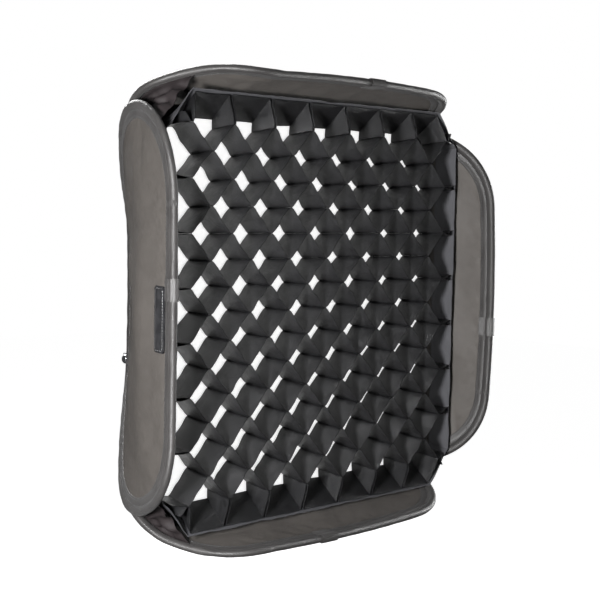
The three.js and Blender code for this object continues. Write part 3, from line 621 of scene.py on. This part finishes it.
def wall_normal(side, across, depth):
    step = 0.5
    along = wall_point(side, across, depth + step) - wall_point(side, across, depth - step)
    sideways = wall_point(side, across + step, depth) - wall_point(side, across - step, depth)
    return unit(np.cross(sideways, along))


def off_wall(side, across, depth, out):
    """Points this far out from a wall's middle surface."""
    out = np.asarray(out, float)[..., None]
    return wall_point(side, across, depth) + out * wall_normal(side, across, depth)


def wall_depths(inset, corner_steps, side_steps, rear_steps):
    """Depths down a wall: round the front corner, down the side, round the rear corner."""
    front, along = WALL_FRONT + inset, CORNER_ALONG - inset
    rear, rear_corner = WALL_REAR - inset, max(4.0, REAR_CORNER - inset)
    corner = np.arange(corner_steps) / corner_steps * math.pi / 2
    side = np.linspace(front + along, rear - rear_corner, side_steps, endpoint=False)
    last = np.linspace(0, math.pi / 2, rear_steps + 1)
    return np.concatenate([
        front + along * (1 - np.cos(corner)), side, rear - rear_corner * (1 - np.sin(last)),
    ])


def loop_outline():
    """The closed line of a wire loop as rows of (across, depth)."""
    depths = wall_depths(0, 30, 40, 10)
    right = np.stack([wall_half_width(depths, 0), depths], -1)
    left = (right * [-1, 1])[::-1]
    rear_x = np.linspace(left[0, 0] * -1, left[0, 0], 30)[1:-1]
    rear = np.stack([rear_x, np.full_like(rear_x, WALL_REAR)], -1)
    front_x = np.linspace(-right[0, 0], right[0, 0], 50)[1:-1]
    front = np.stack([front_x, np.full_like(front_x, WALL_FRONT)], -1)
    return np.concatenate([right, rear, left, front])


class LoopFrame:
    """Points round a wire loop, with the directions inward along the wall and out of it."""

    def __init__(self, side):
        outline = loop_outline()
        self.points = wall_point(side, outline[:, 0], outline[:, 1])
        tangent = unit(np.roll(self.points, -1, 0) - np.roll(self.points, 1, 0))
        normal = wall_normal(side, outline[:, 0], outline[:, 1])
        inward = unit(np.cross(tangent, normal))
        middle = np.array([0, 120, 0])
        flip = ((middle - self.points) * [1, 1, 0] * inward).sum(-1) < 0
        inward[flip] *= -1
        self.inward = inward
        self.outward = unit(normal - tangent * (normal * tangent).sum(-1, keepdims=True))
        step = np.linalg.norm(np.diff(self.points, axis=0, append=self.points[:1]), axis=-1)
        self.distance = np.concatenate([[0], np.cumsum(step)[:-1]])
        self.length = float(step.sum())
        self.tangent = tangent

    def at(self, distance, what):
        """A quantity of the loop at distances round it."""
        closed = np.concatenate([what, what[:1]])
        stops = np.concatenate([self.distance, [self.length]])
        distance = np.mod(distance, self.length)
        return np.stack([np.interp(distance, stops, closed[:, k]) for k in range(3)], -1)


LOOPS = {name: LoopFrame(side) for name, side in SIDES.items()}


# ---------------------------------------------------------------- walls

# Half of the binding's outer section as (inward, outward): the flat folded band, the stitched
# groove, and the bulge round the wire.
BAND_SECTION = [
    (18.0, 0.9), (17.7, 1.5), (16.8, 1.75), (15.4, 1.5), (13.5, 1.9), (10.8, 2.0), (8.9, 1.75),
    (7.5, 1.15), (6.4, 1.9), (5.0, 3.1), (3.2, 4.0), (1.2, 4.6), (-1.2, 4.55), (-3.2, 3.5),
    (-4.4, 1.8),
]
CHANNEL_SECTION = [(18.0, 0.45), (7.5, 0.5), (5.4, 1.7), (2.8, 3.1), (0, 3.5), (-2.6, 2.5)]


def binding_section():
    outer = BAND_SECTION + [(-4.75, 0.0)] + [(a, -b) for a, b in reversed(BAND_SECTION)]
    inner = [(a, -b) for a, b in CHANNEL_SECTION] + [(-3.4, 0.0)]
    inner += [(a, b) for a, b in reversed(CHANNEL_SECTION)]
    return np.array(outer + inner)


def binding_shape(loop, seed):
    """Tape folded over the wire, gathered a little by its stitching."""
    section = binding_section()
    inward = np.broadcast_to(section[:, 0], (len(loop.points), len(section)))
    outward = np.broadcast_to(section[:, 1], inward.shape)
    s = loop.distance[:, None]
    outer = 1 + 0.05 * ripple(s, 4 * inward, seed, 26)
    gather = 0.35 * ripple(s, inward, seed + 1, 9) * np.clip((inward - 5) / 8, 0, 1)
    rings = (
        loop.points[:, None]
        + loop.inward[:, None] * (inward + gather)[..., None]
        + loop.outward[:, None] * (outward * outer)[..., None]
    )
    return swept_ring(rings)


def wire_shape(loop):
    angle = np.arange(12) / 12 * 2 * math.pi
    rings = (
        loop.points[:, None]
        + loop.inward[:, None] * (WIRE_RADIUS * np.cos(angle))[None, :, None]
        + loop.outward[:, None] * (WIRE_RADIUS * np.sin(angle))[None, :, None]
    )
    return swept_ring(rings)


def stitch_run(start, ahead, inward, outward, length):
    """One stitch for each row of a run: a short thread that dips in at both ends."""
    stations = np.array([-0.5, -0.28, 0.28, 0.5]) * length
    sink = np.array([-0.7, 0.25, 0.25, -0.7]) * STITCH_RADIUS * 2
    girth = np.array([0.55, 1.0, 1.0, 0.55]) * STITCH_RADIUS
    angle = np.arange(5) / 5 * 2 * math.pi
    base = start[:, None, None] + ahead[:, None, None] * stations[None, :, None, None]
    base = base + outward[:, None, None] * sink[None, :, None, None]
    ring = (
        inward[:, None, None] * (np.cos(angle)[None, None, :] * girth[None, :, None])[..., None]
        + outward[:, None, None] * (np.sin(angle)[None, None, :] * girth[None, :, None])[..., None]
    )
    points = (base + ring).reshape(-1, 3)
    faces = []
    block = len(stations) * len(angle)
    for k in range(len(start)):
        first = k * block
        for i in range(len(stations) - 1):
            for j in range(len(angle)):
                a = first + i * len(angle) + j
                b = first + i * len(angle) + (j + 1) % len(angle)
                faces.append((a, b, b + len(angle), a + len(angle)))
        faces.append(tuple(first + j for j in reversed(range(len(angle)))))
        faces.append(tuple(first + block - len(angle) + j for j in range(len(angle))))
    return points, faces, np.zeros((len(points), 2))


def loop_stitches(loop):
    """Two rows of stitches on each face of the binding."""
    count = int(loop.length / STITCH_PITCH)
    distance = np.arange(count) * loop.length / count
    points, inward = loop.at(distance, loop.points), unit(loop.at(distance, loop.inward))
    ahead, outward = unit(loop.at(distance, loop.tangent)), unit(loop.at(distance, loop.outward))
    shapes = []
    for inset, height in ((7.5, 1.25), (15.4, 1.6)):
        for face in (1, -1):
            start = points + inward * inset + outward * (face * height)
            shapes.append(stitch_run(start, ahead, inward, outward * face, STITCH_LENGTH))
    return join_shapes(shapes)


def splice_shape(loop, distance, length):
    """The tape's end, folded over its start: a short sleeve that stands a little proud."""
    stops = distance + np.linspace(-0.5, 0.5, 15) * length
    points, inward = loop.at(stops, loop.points), unit(loop.at(stops, loop.inward))
    outward = unit(loop.at(stops, loop.outward))
    half = np.array(BAND_SECTION + [(-4.75, 0.0)])
    section = np.concatenate([half, (half * [1, -1])[-2::-1]])
    proud = [np.where(section[:, 0] < 0, -0.9, 0.4), 0.75 * np.sign(section[:, 1])]
    grown = section + np.stack(proud, -1)
    rows = (
        points[:, None]
        + inward[:, None] * grown[None, :, 0, None]
        + outward[:, None] * grown[None, :, 1, None]
    )
    return thick_sheet(rows, 0.7)


# Folds pressed into each wall, as (across, depth) of both ends, height and half-width.
WALL_FOLDS = {
    "top": [((-215, -8), (-120, -22), 2.6, 5.0), ((-225, 8), (-150, 16), -2.2, 7.0)],
    "left": [
        ((-190, 46), (200, 46), 6.0, 30.0),
        ((150, 40), (235, 55), -1.6, 4.5), ((120, 62), (215, 78), 1.4, 5.0),
        ((60, 90), (190, 104), -1.2, 6.0),
    ],
    "bottom": [((120, 6), (225, 20), 1.8, 6.0)],
    "right": [((-190, 5), (-120, 24), 1.5, 5.0), ((150, 8), (225, -8), 1.8, 5.0)],
}


def pressed_folds(across, depth, folds):
    """The height that straight folds with fading ends add to a wall."""
    total = np.zeros(np.broadcast(across, depth).shape)
    for (x0, d0), (x1, d1), height, half_width in folds:
        run = math.hypot(x1 - x0, d1 - d0)
        ux, ud = (x1 - x0) / run, (d1 - d0) / run
        along = ((across - x0) * ux + (depth - d0) * ud) / run
        beside = (across - x0) * ud - (depth - d0) * ux
        ends = np.clip(1 - (2 * along - 1) ** 2, 0, 1)
        total += height * ends * np.exp(-((beside / half_width) ** 2))
    return total


def wall_rows(side, folds, seed):
    """The cloth of one wall: puckered where it is sewn, slack and lightly creased between."""
    depths = wall_depths(PANEL_INSET, 34, 60, 10)[:, None]
    half = wall_half_width(depths, PANEL_INSET)
    across = half * np.linspace(1, -1, 97)[None, :]
    from_front = depths - WALL_FRONT - PANEL_INSET
    from_rear = WALL_REAR - PANEL_INSET - depths
    from_edge = np.minimum(half - np.abs(across), np.minimum(from_front, from_rear))
    free = np.clip((from_edge - 12) / 30, 0, 1)
    near = np.exp(-np.maximum(from_edge - 10, 0) / 16) * np.clip(from_edge / 12, 0, 1)
    puckers = 0.55 * near * ripple(across, depths, seed, 15)
    broad = 1.3 * ripple(across, depths, seed + 1, 120)
    slack = free * (broad + 0.5 * ripple(across, 0.4 * depths, seed + 2, 34))
    pressed = np.clip(from_edge / 15, 0, 1) * pressed_folds(across, depths, folds)
    return off_wall(side, across, depths + 0 * across, puckers + slack + pressed)


def make_wall(name, seed):
    side = SIDES[name]
    rows = wall_rows(side, WALL_FOLDS[name], seed)
    panel = make_piece(
        f"wall_{name}", "softbox", thick_sheet(rows, PANEL_THICKNESS), "black_nylon",
        [f"side_panel_{name}"], side.turn,
    )


def make_loop(name, seed):
    """A wire loop, the tape folded over it, the tape's stitches and its overlapped end."""
    loop, turn = LOOPS[name], SIDES[name].turn
    tape = "binding_tape"
    splice = splice_shape(loop, loop.length * 0.93, 26)
    for piece, shape, slot, nodes, sharp, look in (
        ("binding_tape", binding_shape(loop, seed), tape, [f"binding_{name}"], 55, tape),
        ("wire", wire_shape(loop), "spring_steel", [f"wire_loop_{name}"], 40, "spring_steel"),
        ("binding_stitches", loop_stitches(loop), tape, [], 60, "sewing_thread"),
        ("binding_splice", splice, tape, [], 40, tape),
    ):
        make_piece(f"{piece}_{name}", "softbox", shape, slot, nodes, turn, sharp, look)


def make_gusset(name, seed):
    """Gathered cloth that closes a corner, tucked under the bindings of two loops."""
    side, next_side = (SIDES[each] for each in CORNERS[name])
    depths = np.linspace(4, WALL_REAR - 7, 80)
    edge = off_wall(side, wall_half_width(depths, 0) - 6, depths, -3.4)
    other = off_wall(next_side, 6 - wall_half_width(depths, 0), depths, -3.4)
    other = other[:, [2, 1, 0]] * [1, 1, -1]
    limit = seam_height(depths) - 12
    fold_x = np.minimum((edge[:, 0] + other[:, 0]) / 2 - 1, limit)
    fold_z = np.minimum((edge[:, 2] + other[:, 2]) / 2 - 1, limit)
    fold = np.stack([fold_x, depths + 3, fold_z], -1)
    t = np.linspace(0, 1, 41)[None, :, None]
    pulled = (2 * fold - (edge + other) / 2)[:, None]
    rows = edge[:, None] * (1 - t) ** 2 + 2 * t * (1 - t) * pulled + other[:, None] * t**2
    width = np.linalg.norm(other - edge, axis=-1)[:, None]
    share, down = t[..., 0], depths[:, None]
    across = (share - 0.5) * width
    free = np.sin(math.pi * share) ** 0.7
    pleats = np.minimum(width / 14, 1.8) * np.sin(2 * math.pi * 3.5 * share + 0.02 * down)
    crumple = np.minimum(width / 20, 2.2) * ripple(across, down, seed, 24)
    fine = np.minimum(width / 60, 0.7) * ripple(across, 0.5 * down, seed + 1, 9)
    rows = rows + surface_normals(rows) * (free * (pleats + crumple + fine))[..., None]
    gusset = make_piece(
        f"gusset_{name}", "softbox", thick_sheet(rows, 0.7), "gusset_cloth",
        [f"corner_gusset_{name}"], side.turn,
    )


def make_hook_tape(name):
    side = SIDES[name]
    depths = np.linspace(DIFFUSER_DEPTH, DIFFUSER_DEPTH + 18, 7)[:, None]
    across = np.linspace(215, -215, 80)[None, :] + 0 * depths
    depths = depths + 0 * across
    rows = off_wall(side, across, depths, -3.0 - 0.25 * ripple(across, depths, 7, 40))
    tape = make_piece(
        f"hooks_{name}", "softbox", thick_sheet(rows, 1.2), "hook_tape", [f"hook_tape_{name}"],
        side.turn,
    )


def make_patch(side):
    """A plain patch with rounded ends, sewn outside a wall."""
    depth_half, across_half, corner = 11.0, 39.0, 4.0
    v = np.linspace(-1, 1, 15)[:, None]
    reach = np.clip((np.abs(v) * depth_half - (depth_half - corner)) / corner, 0, 1)
    half = across_half - corner * (1 - np.sqrt(1 - np.minimum(reach, 0.995) ** 2))
    across = half * np.linspace(1, -1, 45)[None, :]
    depths = PATCH_DEPTH + depth_half * v + 0 * across
    puff = 0.35 * np.clip((depth_half - np.abs(depths - PATCH_DEPTH)) / 3, 0, 1)
    rows = off_wall(side, across, depths, 2.5 + puff)
    patch = make_piece(
        "patch", "softbox", thick_sheet(rows, 1.0), "patch", ["side_patch"], side.turn,
    )


def make_patch_stitches(side):
    """A line of stitches along the patch's four edges."""
    edges = (
        (-35, -8.4, 35, -8.4, 20), (36.4, -7, 36.4, 7, 4), (35, 8.4, -35, 8.4, 20),
        (-36.4, 7, -36.4, -7, 4),
    )
    across, depth, run_across, run_depth = np.array([
        (x0 + (x1 - x0) * share, PATCH_DEPTH + d0 + (d1 - d0) * share, x1 - x0, d1 - d0)
        for x0, d0, x1, d1, count in edges
        for share in (np.arange(count) + 0.5) / count
    ]).T
    normals = wall_normal(side, across, depth)
    start = off_wall(side, across, depth, 3.35)
    ahead = unit(
        wall_point(side, across + run_across * 0.01, depth + run_depth * 0.01)
        - wall_point(side, across, depth)
    )
    shape = stitch_run(start, ahead, unit(np.cross(ahead, normals)), normals, 2.6)
    make_piece("patch_stitches", "softbox", shape, "patch", turn=side.turn, look="sewing_thread")


# ---------------------------------------------------------------- grid


def column_x(column):
    return (column - GRID_CELLS) * GRID_CELL / 2


def row_z(row):
    return (GRID_CELLS - row) * GRID_CELL / 2


def tapered(x, depth, height):
    """Grid points drawn in towards the rear, with a border that slopes as the walls do."""
    back = np.clip(depth / GRID_DEPTH, 0, 1)
    at_edge = smooth_step(np.abs(height), row_z(0), GRID_HALF - 3)
    slope = at_edge * (BORDER_FLARE * (1 - back) - BORDER_DROOP * back)
    x = x * (1 - (1 - GRID_TAPER_X) * back)
    height = height * (1 - (1 - GRID_TAPER_Z) * back) + np.sign(height) * slope
    return x, depth, height


def bowed(points):
    """Grid points with the taper towards the rear face and the middle hanging back."""
    x, depth, height = np.moveaxis(points, -1, 0)
    across = np.minimum(1, np.abs(x) / GRID_HALF)
    up = np.minimum(1, np.abs(height) / GRID_HALF)
    bow = GRID_BOW * (1 - across**2) * (1 - up**2)
    x, depth, height = tapered(x, depth, height)
    return np.stack([x, depth + bow, height], -1)


def eased(count):
    """Shares from 0 to 1 along a strip between two nodes, with soft bends at both ends."""
    t = np.linspace(0, 1, count)
    low = t**2 / (2 * STRIP_BEND)
    high = 1 - STRIP_BEND - (1 - t) ** 2 / (2 * STRIP_BEND)
    middle = t - STRIP_BEND / 2
    rise = np.where(t < STRIP_BEND, low, np.where(t > 1 - STRIP_BEND, high, middle))
    return t, rise / (1 - STRIP_BEND)


def smooth_path(corners, steps=11):
    """A path through (x, z) corners, with soft bends where the slope changes."""
    path = []
    for (x0, z0), (x1, z1) in zip(corners[:-1], corners[1:]):
        level = abs(z1 - z0) < 1e-6
        t, rise = eased(4 if level else steps)
        rise = t if level else rise
        path += [(x0 + (x1 - x0) * a, z0 + (z1 - z0) * b) for a, b in zip(t, rise)][:-1]
    path.append(corners[-1])
    return np.array(path)


def ribbon_rows(path, pinned, seed):
    """A strip of cloth on edge along a path. pinned is 1 where it is sewn and 0 where free."""
    share = np.linspace(0, 1, 9)[:, None]
    tangent = unit(np.gradient(path, axis=0))
    run = run_along(path)[None, :]
    free = (1 - pinned)[None, :]
    lip = np.abs(2 * share - 1) ** 2
    slow = 0.9 * ripple(run, 30 * share, seed, 55)
    sway = free * (slow + 0.8 * lip * ripple(run, 36 * share, seed + 1, 22))
    x = path[None, :, 0] - tangent[None, :, 1] * sway
    z = path[None, :, 1] + tangent[None, :, 0] * sway
    edge = free * 0.9 * ripple(run, 0 * share, seed + 2, 48) * lip
    reach = GRID_HALF - np.maximum(np.abs(path[:, 0]), np.abs(path[:, 1]))[None, :]
    proud = GRID_PROUD * smooth_step(reach, 3, 30)
    depth = (GRID_DEPTH + proud) * share - proud
    return bowed(np.stack([x, depth + edge, z], -1))


def pinned_at(path, xs, reach):
    """1 within reach of the nodes at xs, falling to 0 between them."""
    nearest = np.abs(path[:, 0][:, None] - np.asarray(xs)[None, :]).min(1)
    return np.clip(1 - (nearest - reach) / (0.25 * GRID_CELL - reach), 0, 1)


def make_strip(name, node, corners, node_xs, seed):
    """A strip of the grid, sewn at the nodes at node_xs."""
    path = smooth_path(corners)
    rows = ribbon_rows(path, pinned_at(path, node_xs, NODE_HALF), seed)
    strip = make_piece(name, "grid", thick_sheet(rows, STRIP_THICKNESS), "grid_cloth", [node])


STRIP_END = GRID_HALF - 2.0
NODE_XS = [column_x(column) for column in range(2 * GRID_CELLS + 1)]


def make_grid_strips():
    """Zigzag strips. Each meets the one above at its upper nodes and the one below at its lower."""
    for index in range(2 * GRID_CELLS):
        upper, lower = row_z(index) - STRIP_OFFSET, row_z(index + 1) + STRIP_OFFSET
        heights = [lower if (column + index) % 2 else upper for column in range(len(NODE_XS))]
        chamfer = 2 * STRIP_END - CORNER_LEG - 2.4
        first, last = (min(STRIP_END, chamfer - abs(z)) for z in (heights[0], heights[-1]))
        parted = END_LOOP if index % 2 else -END_LOOP
        corners = [(-first, heights[0] + parted)]
        for column, (x, z) in enumerate(zip(NODE_XS, heights)):
            if column > 0:
                corners.append((x - NODE_HALF, z))
            if column < len(NODE_XS) - 1:
                corners.append((x + NODE_HALF, z))
        corners.append((last, heights[-1] + parted))
        number = f"{index + 1:02d}"
        make_strip(f"strip_{number}", f"grid_strip_{number}", corners, NODE_XS, 300 + 5 * index)


def make_edge_strips():
    """Strips along the top and bottom: pockets that run from the nodes out to the border."""
    pocket = NODE_HALF * 1.5
    corner_end = STRIP_END - CORNER_LEG / 2 - 1.2
    last_x = STRIP_END - CORNER_LEG - 2.4
    for side, name in ((1, "top"), (-1, "bottom")):
        node_z = side * (row_z(0) + STRIP_OFFSET)
        edge_z = side * (STRIP_END - 2.6)
        corners = [(-corner_end, side * corner_end)]
        for x in NODE_XS[::2]:
            if x > NODE_XS[0]:
                corners.append((min(last_x, x - pocket), edge_z))
            corners += [(x - NODE_HALF, node_z), (x + NODE_HALF, node_z)]
            if x < NODE_XS[-1]:
                corners.append((max(-last_x, x + pocket), edge_z))
        corners.append((corner_end, side * corner_end))
        edge = f"edge_strip_{name}"
        make_strip(edge, f"grid_{edge}", corners, NODE_XS[::2], 400 + side)


def dense_ring(corners, pace, least):
    """A closed line through corners, with points about pace apart along it."""
    ring = []
    for (x0, z0), (x1, z1) in zip(corners, [*corners[1:], corners[0]]):
        count = max(least, int(math.hypot(x1 - x0, z1 - z0) / pace))
        ring += [(x0 + (x1 - x0) * k / count, z0 + (z1 - z0) * k / count) for k in range(count)]
    return np.array(ring)


def cut_square(half, leg, steps):
    """Points round a square with its corners cut off, as (x, height) rows."""
    short = half - leg
    corners = [
        (half, -short), (half, short), (short, half), (-short, half),
        (-half, short), (-half, -short), (-short, -half), (short, -half),
    ]
    return dense_ring(corners, 2 * half / steps, 2)


def make_grid_border():
    """The band that the strips are sewn into, pulled in a little between them."""
    ring = cut_square(GRID_HALF - BORDER_THICKNESS / 2, CORNER_LEG, 120)
    inward = -unit(ring)
    run = run_along(ring)[:, None]
    half_thick = BORDER_THICKNESS / 2
    share = np.linspace(0, 1, 9)
    section = [(half_thick, s) for s in share] + [(-half_thick, s) for s in share[::-1]]
    out, back = np.array(section).T[:, None, :]
    pull = 0.8 * ripple(run, 40 * back, 51, 60)
    pull += 0.6 * (2 * back - 1) ** 2 * ripple(run, 0 * back, 52, 25)
    offset = np.abs(pull) + out + 0.2
    x = ring[:, None, 0] + inward[:, None, 0] * offset
    z = ring[:, None, 1] + inward[:, None, 1] * offset
    depth = GRID_DEPTH * back + 0.5 * ripple(run, 0 * offset, 53, 70)
    shape = swept_ring(np.stack(tapered(x, depth + 0 * x, z), -1))
    border = make_piece("border", "grid", shape, "grid_cloth", ["grid_border"], look="border_cloth")


# ---------------------------------------------------------------- diffuser, baffle, rear


def disc_rows(outline, rings, depth, billow, seed):
    """Rows of points from a closed outline in to its centre, for a stretched flat cloth."""
    share = np.linspace(1, 0.002, rings)[:, None]
    x, z = outline[None, :, 0] * share, outline[None, :, 1] * share
    centre = 1 - share**2
    sag = billow * centre + 0.8 * np.clip(centre * 3, 0, 1) * ripple(x, z, seed, 90)
    return np.stack([x, depth + sag, z], -1)


def make_diffuser():
    outline = cut_square(DIFFUSER_HALF - 0.5, DIFFUSER_LEG, 90)
    outline = np.concatenate([outline, outline[:1]])
    face = disc_rows(outline, 30, DIFFUSER_DEPTH + 0.6, 5.0, 61)
    x, z = outline[None, :, 0], outline[None, :, 1]
    share = np.linspace(1, 0, 6)[:, None]
    scale = 1 - 0.025 * share
    depth = DIFFUSER_DEPTH + 0.6 + DIFFUSER_HEM * share + 0 * x
    hem = np.stack([x * scale, depth, z * scale], -1)
    rows = np.concatenate([hem[:-1], face])
    diffuser = make_piece(
        "diffuser", "diffuser", thick_sheet(rows, 0.9), "diffuser_cloth", ["front_diffuser"],
    )
    weld(diffuser)


def make_diffuser_tape():
    """Loop tape folded over the diffuser's edge, which the hook tapes on the walls grip."""
    outline = cut_square(DIFFUSER_HALF, DIFFUSER_LEG, 90)
    section = np.array([(9, -1.2), (-0.6, -1.2), (5.9, 16.5), (6.9, 16.5), (0.6, -0.4), (9, -0.4)])
    scale = 1 - section[None, :, 0] / DIFFUSER_HALF
    x, z = outline[:, None, 0] * scale, outline[:, None, 1] * scale
    depth = DIFFUSER_DEPTH + 0.6 + section[None, :, 1] + 0 * x
    shape = swept_ring(np.stack([x, depth, z], -1))
    tape = make_piece("diffuser_tape", "diffuser", shape, "hook_tape")


def weld(piece, distance=2e-5):
    """Joins the seam of a sheet whose rows run all the way round."""
    mesh = bmesh.new()
    mesh.from_mesh(piece.data)
    bmesh.ops.remove_doubles(mesh, verts=mesh.verts, dist=distance)
    inside = [f for f in mesh.faces if len({v.index for v in f.verts}) < 3 or f.calc_area() < 1e-14]
    bmesh.ops.delete(mesh, geom=inside, context="FACES_ONLY")
    mesh.to_mesh(piece.data)
    mesh.free()


def make_baffle():
    """The inner baffle: a square with four corner tabs that hang it from the seams."""
    half, neck, tab = 168.0, 150.0, 187.0
    corners = []
    for k in range(4):
        cos, sin = round(math.cos(k * math.pi / 2)), round(math.sin(k * math.pi / 2))
        for x, z in ((half, neck), (tab, tab - 14), (tab - 14, tab), (neck, half)):
            corners.append((x * cos - z * sin, x * sin + z * cos))
    outline = dense_ring(corners, 8, 2)
    outline = np.concatenate([outline, outline[:1]])
    rows = disc_rows(outline, 20, BAFFLE_DEPTH + 0.6, 3.0, 71)
    baffle = make_piece(
        "baffle", "softbox", thick_sheet(rows, 0.8), "diffuser_cloth", ["inner_baffle"],
        look="baffle_cloth",
    )
    weld(baffle)


def rounded_ring(half_wide, half_tall, radius, count=24):
    """Points round a rectangle with round corners, as (x, height) rows."""
    ring = []
    for sx, sz, start in ((1, 1, 0.0), (-1, 1, 0.5), (-1, -1, 1.0), (1, -1, 1.5)):
        for k in range(count + 1):
            angle = (start + 0.5 * k / count) * math.pi
            ring.append((
                sx * (half_wide - radius) + radius * math.cos(angle),
                sz * (half_tall - radius) + radius * math.sin(angle),
            ))
    return np.array(ring)


def make_rear_panel():
    """Rear cloth round the flash opening, gathered by the elastic in its hem."""
    inner = rounded_ring(OPENING_WIDE / 2 + 1.5, OPENING_TALL / 2 + 1.5, 14)
    angle = np.arctan2(inner[:, 1], inner[:, 0])
    across, up = np.cos(angle), np.sin(angle)
    square = 1 / np.maximum(np.abs(across), np.abs(up))
    chamfer = (2 - 8 / REAR_HALF) / (np.abs(across) + np.abs(up))
    outer = np.stack([across, up], -1) * (REAR_HALF * np.minimum(square, chamfer))[:, None]
    share = np.linspace(0, 1, 16)[:, None, None]
    ring = inner[None] * (1 - share) + outer[None] * share
    ring = np.concatenate([ring, ring[:, :1]], 1)
    share = share[..., 0]
    folds = np.sin(46 * np.unwrap(np.concatenate([angle, angle[:1]])))[None, :]
    gather = 1.3 * (1 - share) ** 1.5 * folds
    slack = 0.5 * share * ripple(ring[..., 0], ring[..., 1], 81, 40)
    rows = np.stack([ring[..., 0], REAR_DEPTH + 0.8 + gather + slack, ring[..., 1]], -1)
    panel = make_piece(
        "rear_cloth", "softbox", thick_sheet(rows, 0.8), "black_nylon", ["rear_panel"],
    )
    weld(panel)


def make_opening_hem():
    """The elastic hem: a soft roll gathered into small folds."""
    ring = rounded_ring(OPENING_WIDE / 2 - 2.0, OPENING_TALL / 2 - 2.0, 12)
    keep = np.linalg.norm(np.diff(ring, axis=0, append=ring[:1]), axis=-1) > 1e-6
    line = dense_ring([tuple(point) for point in ring[keep]], 1.3, 1)
    run = run_along(line)[:, None]
    tangent = unit(np.roll(line, -1, 0) - np.roll(line, 1, 0))
    angle = np.arange(14)[None, :] / 14 * 2 * math.pi
    folds = 1 + 0.16 * np.sin(2 * math.pi * run / 6.3) + 0.1 * ripple(run, 0 * angle, 91, 14)
    reach = 2.7 * np.cos(angle) * folds
    x = line[:, None, 0] + tangent[:, None, 1] * reach
    z = line[:, None, 1] - tangent[:, None, 0] * reach
    depth = REAR_DEPTH + 0.8 + 2.5 * np.sin(angle) * folds
    shape = swept_ring(np.stack([x, depth, z], -1))
    make_piece(
        "elastic_hem", "softbox", shape, "elastic_hem", ["opening_hem"], sharp=70,
        look="gusset_cloth",
    )


# ---------------------------------------------------------------- metalwork and knobs


def rounded_copy(node, width):
    """A copy of a CAD node with its flat facets joined and its edges rounded."""
    mesh = bmesh.new()
    mesh.from_mesh(frame["nodes"][node].data)
    bmesh.ops.remove_doubles(mesh, verts=mesh.verts, dist=1e-6)
    bmesh.ops.dissolve_limit(
        mesh, angle_limit=math.radians(1), verts=mesh.verts, edges=mesh.edges,
    )
    data = bpy.data.meshes.new(node + "_fine")
    mesh.to_mesh(data)
    mesh.free()
    piece = bpy.data.objects.new(node + "_fine", data)
    bpy.context.scene.collection.objects.link(piece)
    bevel = piece.modifiers.new("edges", "BEVEL")
    bevel.width = width
    bevel.segments = 3
    bevel.limit_method = "ANGLE"
    bevel.angle_limit = math.radians(32)
    bevel.harden_normals = False
    bpy.context.view_layer.update()
    evaluated = piece.evaluated_get(bpy.context.evaluated_depsgraph_get())
    final = bpy.data.meshes.new_from_object(evaluated)
    piece.modifiers.clear()
    piece.data = final
    return piece


def make_refined(node, slot, width):
    """A CAD part kept in shape, with rounded edges and its own look."""
    piece = rounded_copy(node, width)
    piece.data.materials.clear()
    piece.data.materials.append(LOOKS[slot])
    piece.data.shade_smooth()
    piece.data.set_sharp_from_angle(angle=math.radians(30))
    bodies = frame["record"]["behaviour"]["bodies"]
    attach(piece, next(body for body, members in bodies.items() if node in members))
    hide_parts(node)


# CAD shapes kept with rounded edges: node, slot, and the width of the rounding in metres.
REFINED = [
    ("mount_plate", "black_steel", 0.0004),
    ("bracket_pad", "pad_rubber", 0.0010),
    ("bracket_arm", "black_steel", 0.0007),
    ("plate_screw_left", "zinc_steel", 0.0004),
    ("plate_screw_right", "zinc_steel", 0.0004),
    ("arm_bolt", "zinc_steel", 0.0003),
    ("tilt_head_upper", "cast_black", 0.0009),
    ("tilt_head_lower", "cast_black", 0.0009),
    ("tilt_bolt", "zinc_steel", 0.0003),
    ("tilt_lever", "cast_black", 0.0006),
    ("stand_lock_knob", "black_plastic", 0.0005),
    ("umbrella_screw", "black_plastic", 0.0003),
    ("shoe_carriage", "cast_black", 0.0008),
    ("carriage_knob", "black_plastic", 0.0004),
    ("carriage_knob_cap", "silver_cap", 0.0004),
    ("cold_shoe", "black_steel", 0.0004),
    ("shoe_lock_screw", "zinc_steel", 0.0002),
]


# ---------------------------------------------------------------- assembly

make_camera()
make_studio()
make_floor()

for order, side_name in enumerate(SIDES):
    make_wall(side_name, 100 + 10 * order)
    make_loop(side_name, 140 + 10 * order)
    make_hook_tape(side_name)
for order, corner_name in enumerate(CORNERS):
    make_gusset(corner_name, 200 + 10 * order)
make_patch(SIDES["left"])
make_patch_stitches(SIDES["left"])
make_grid_border()
make_grid_strips()
make_edge_strips()
make_diffuser()
make_diffuser_tape()
make_baffle()
make_rear_panel()
make_opening_hem()
for node_name, slot_name, edge_width in REFINED:
    make_refined(node_name, slot_name, edge_width)
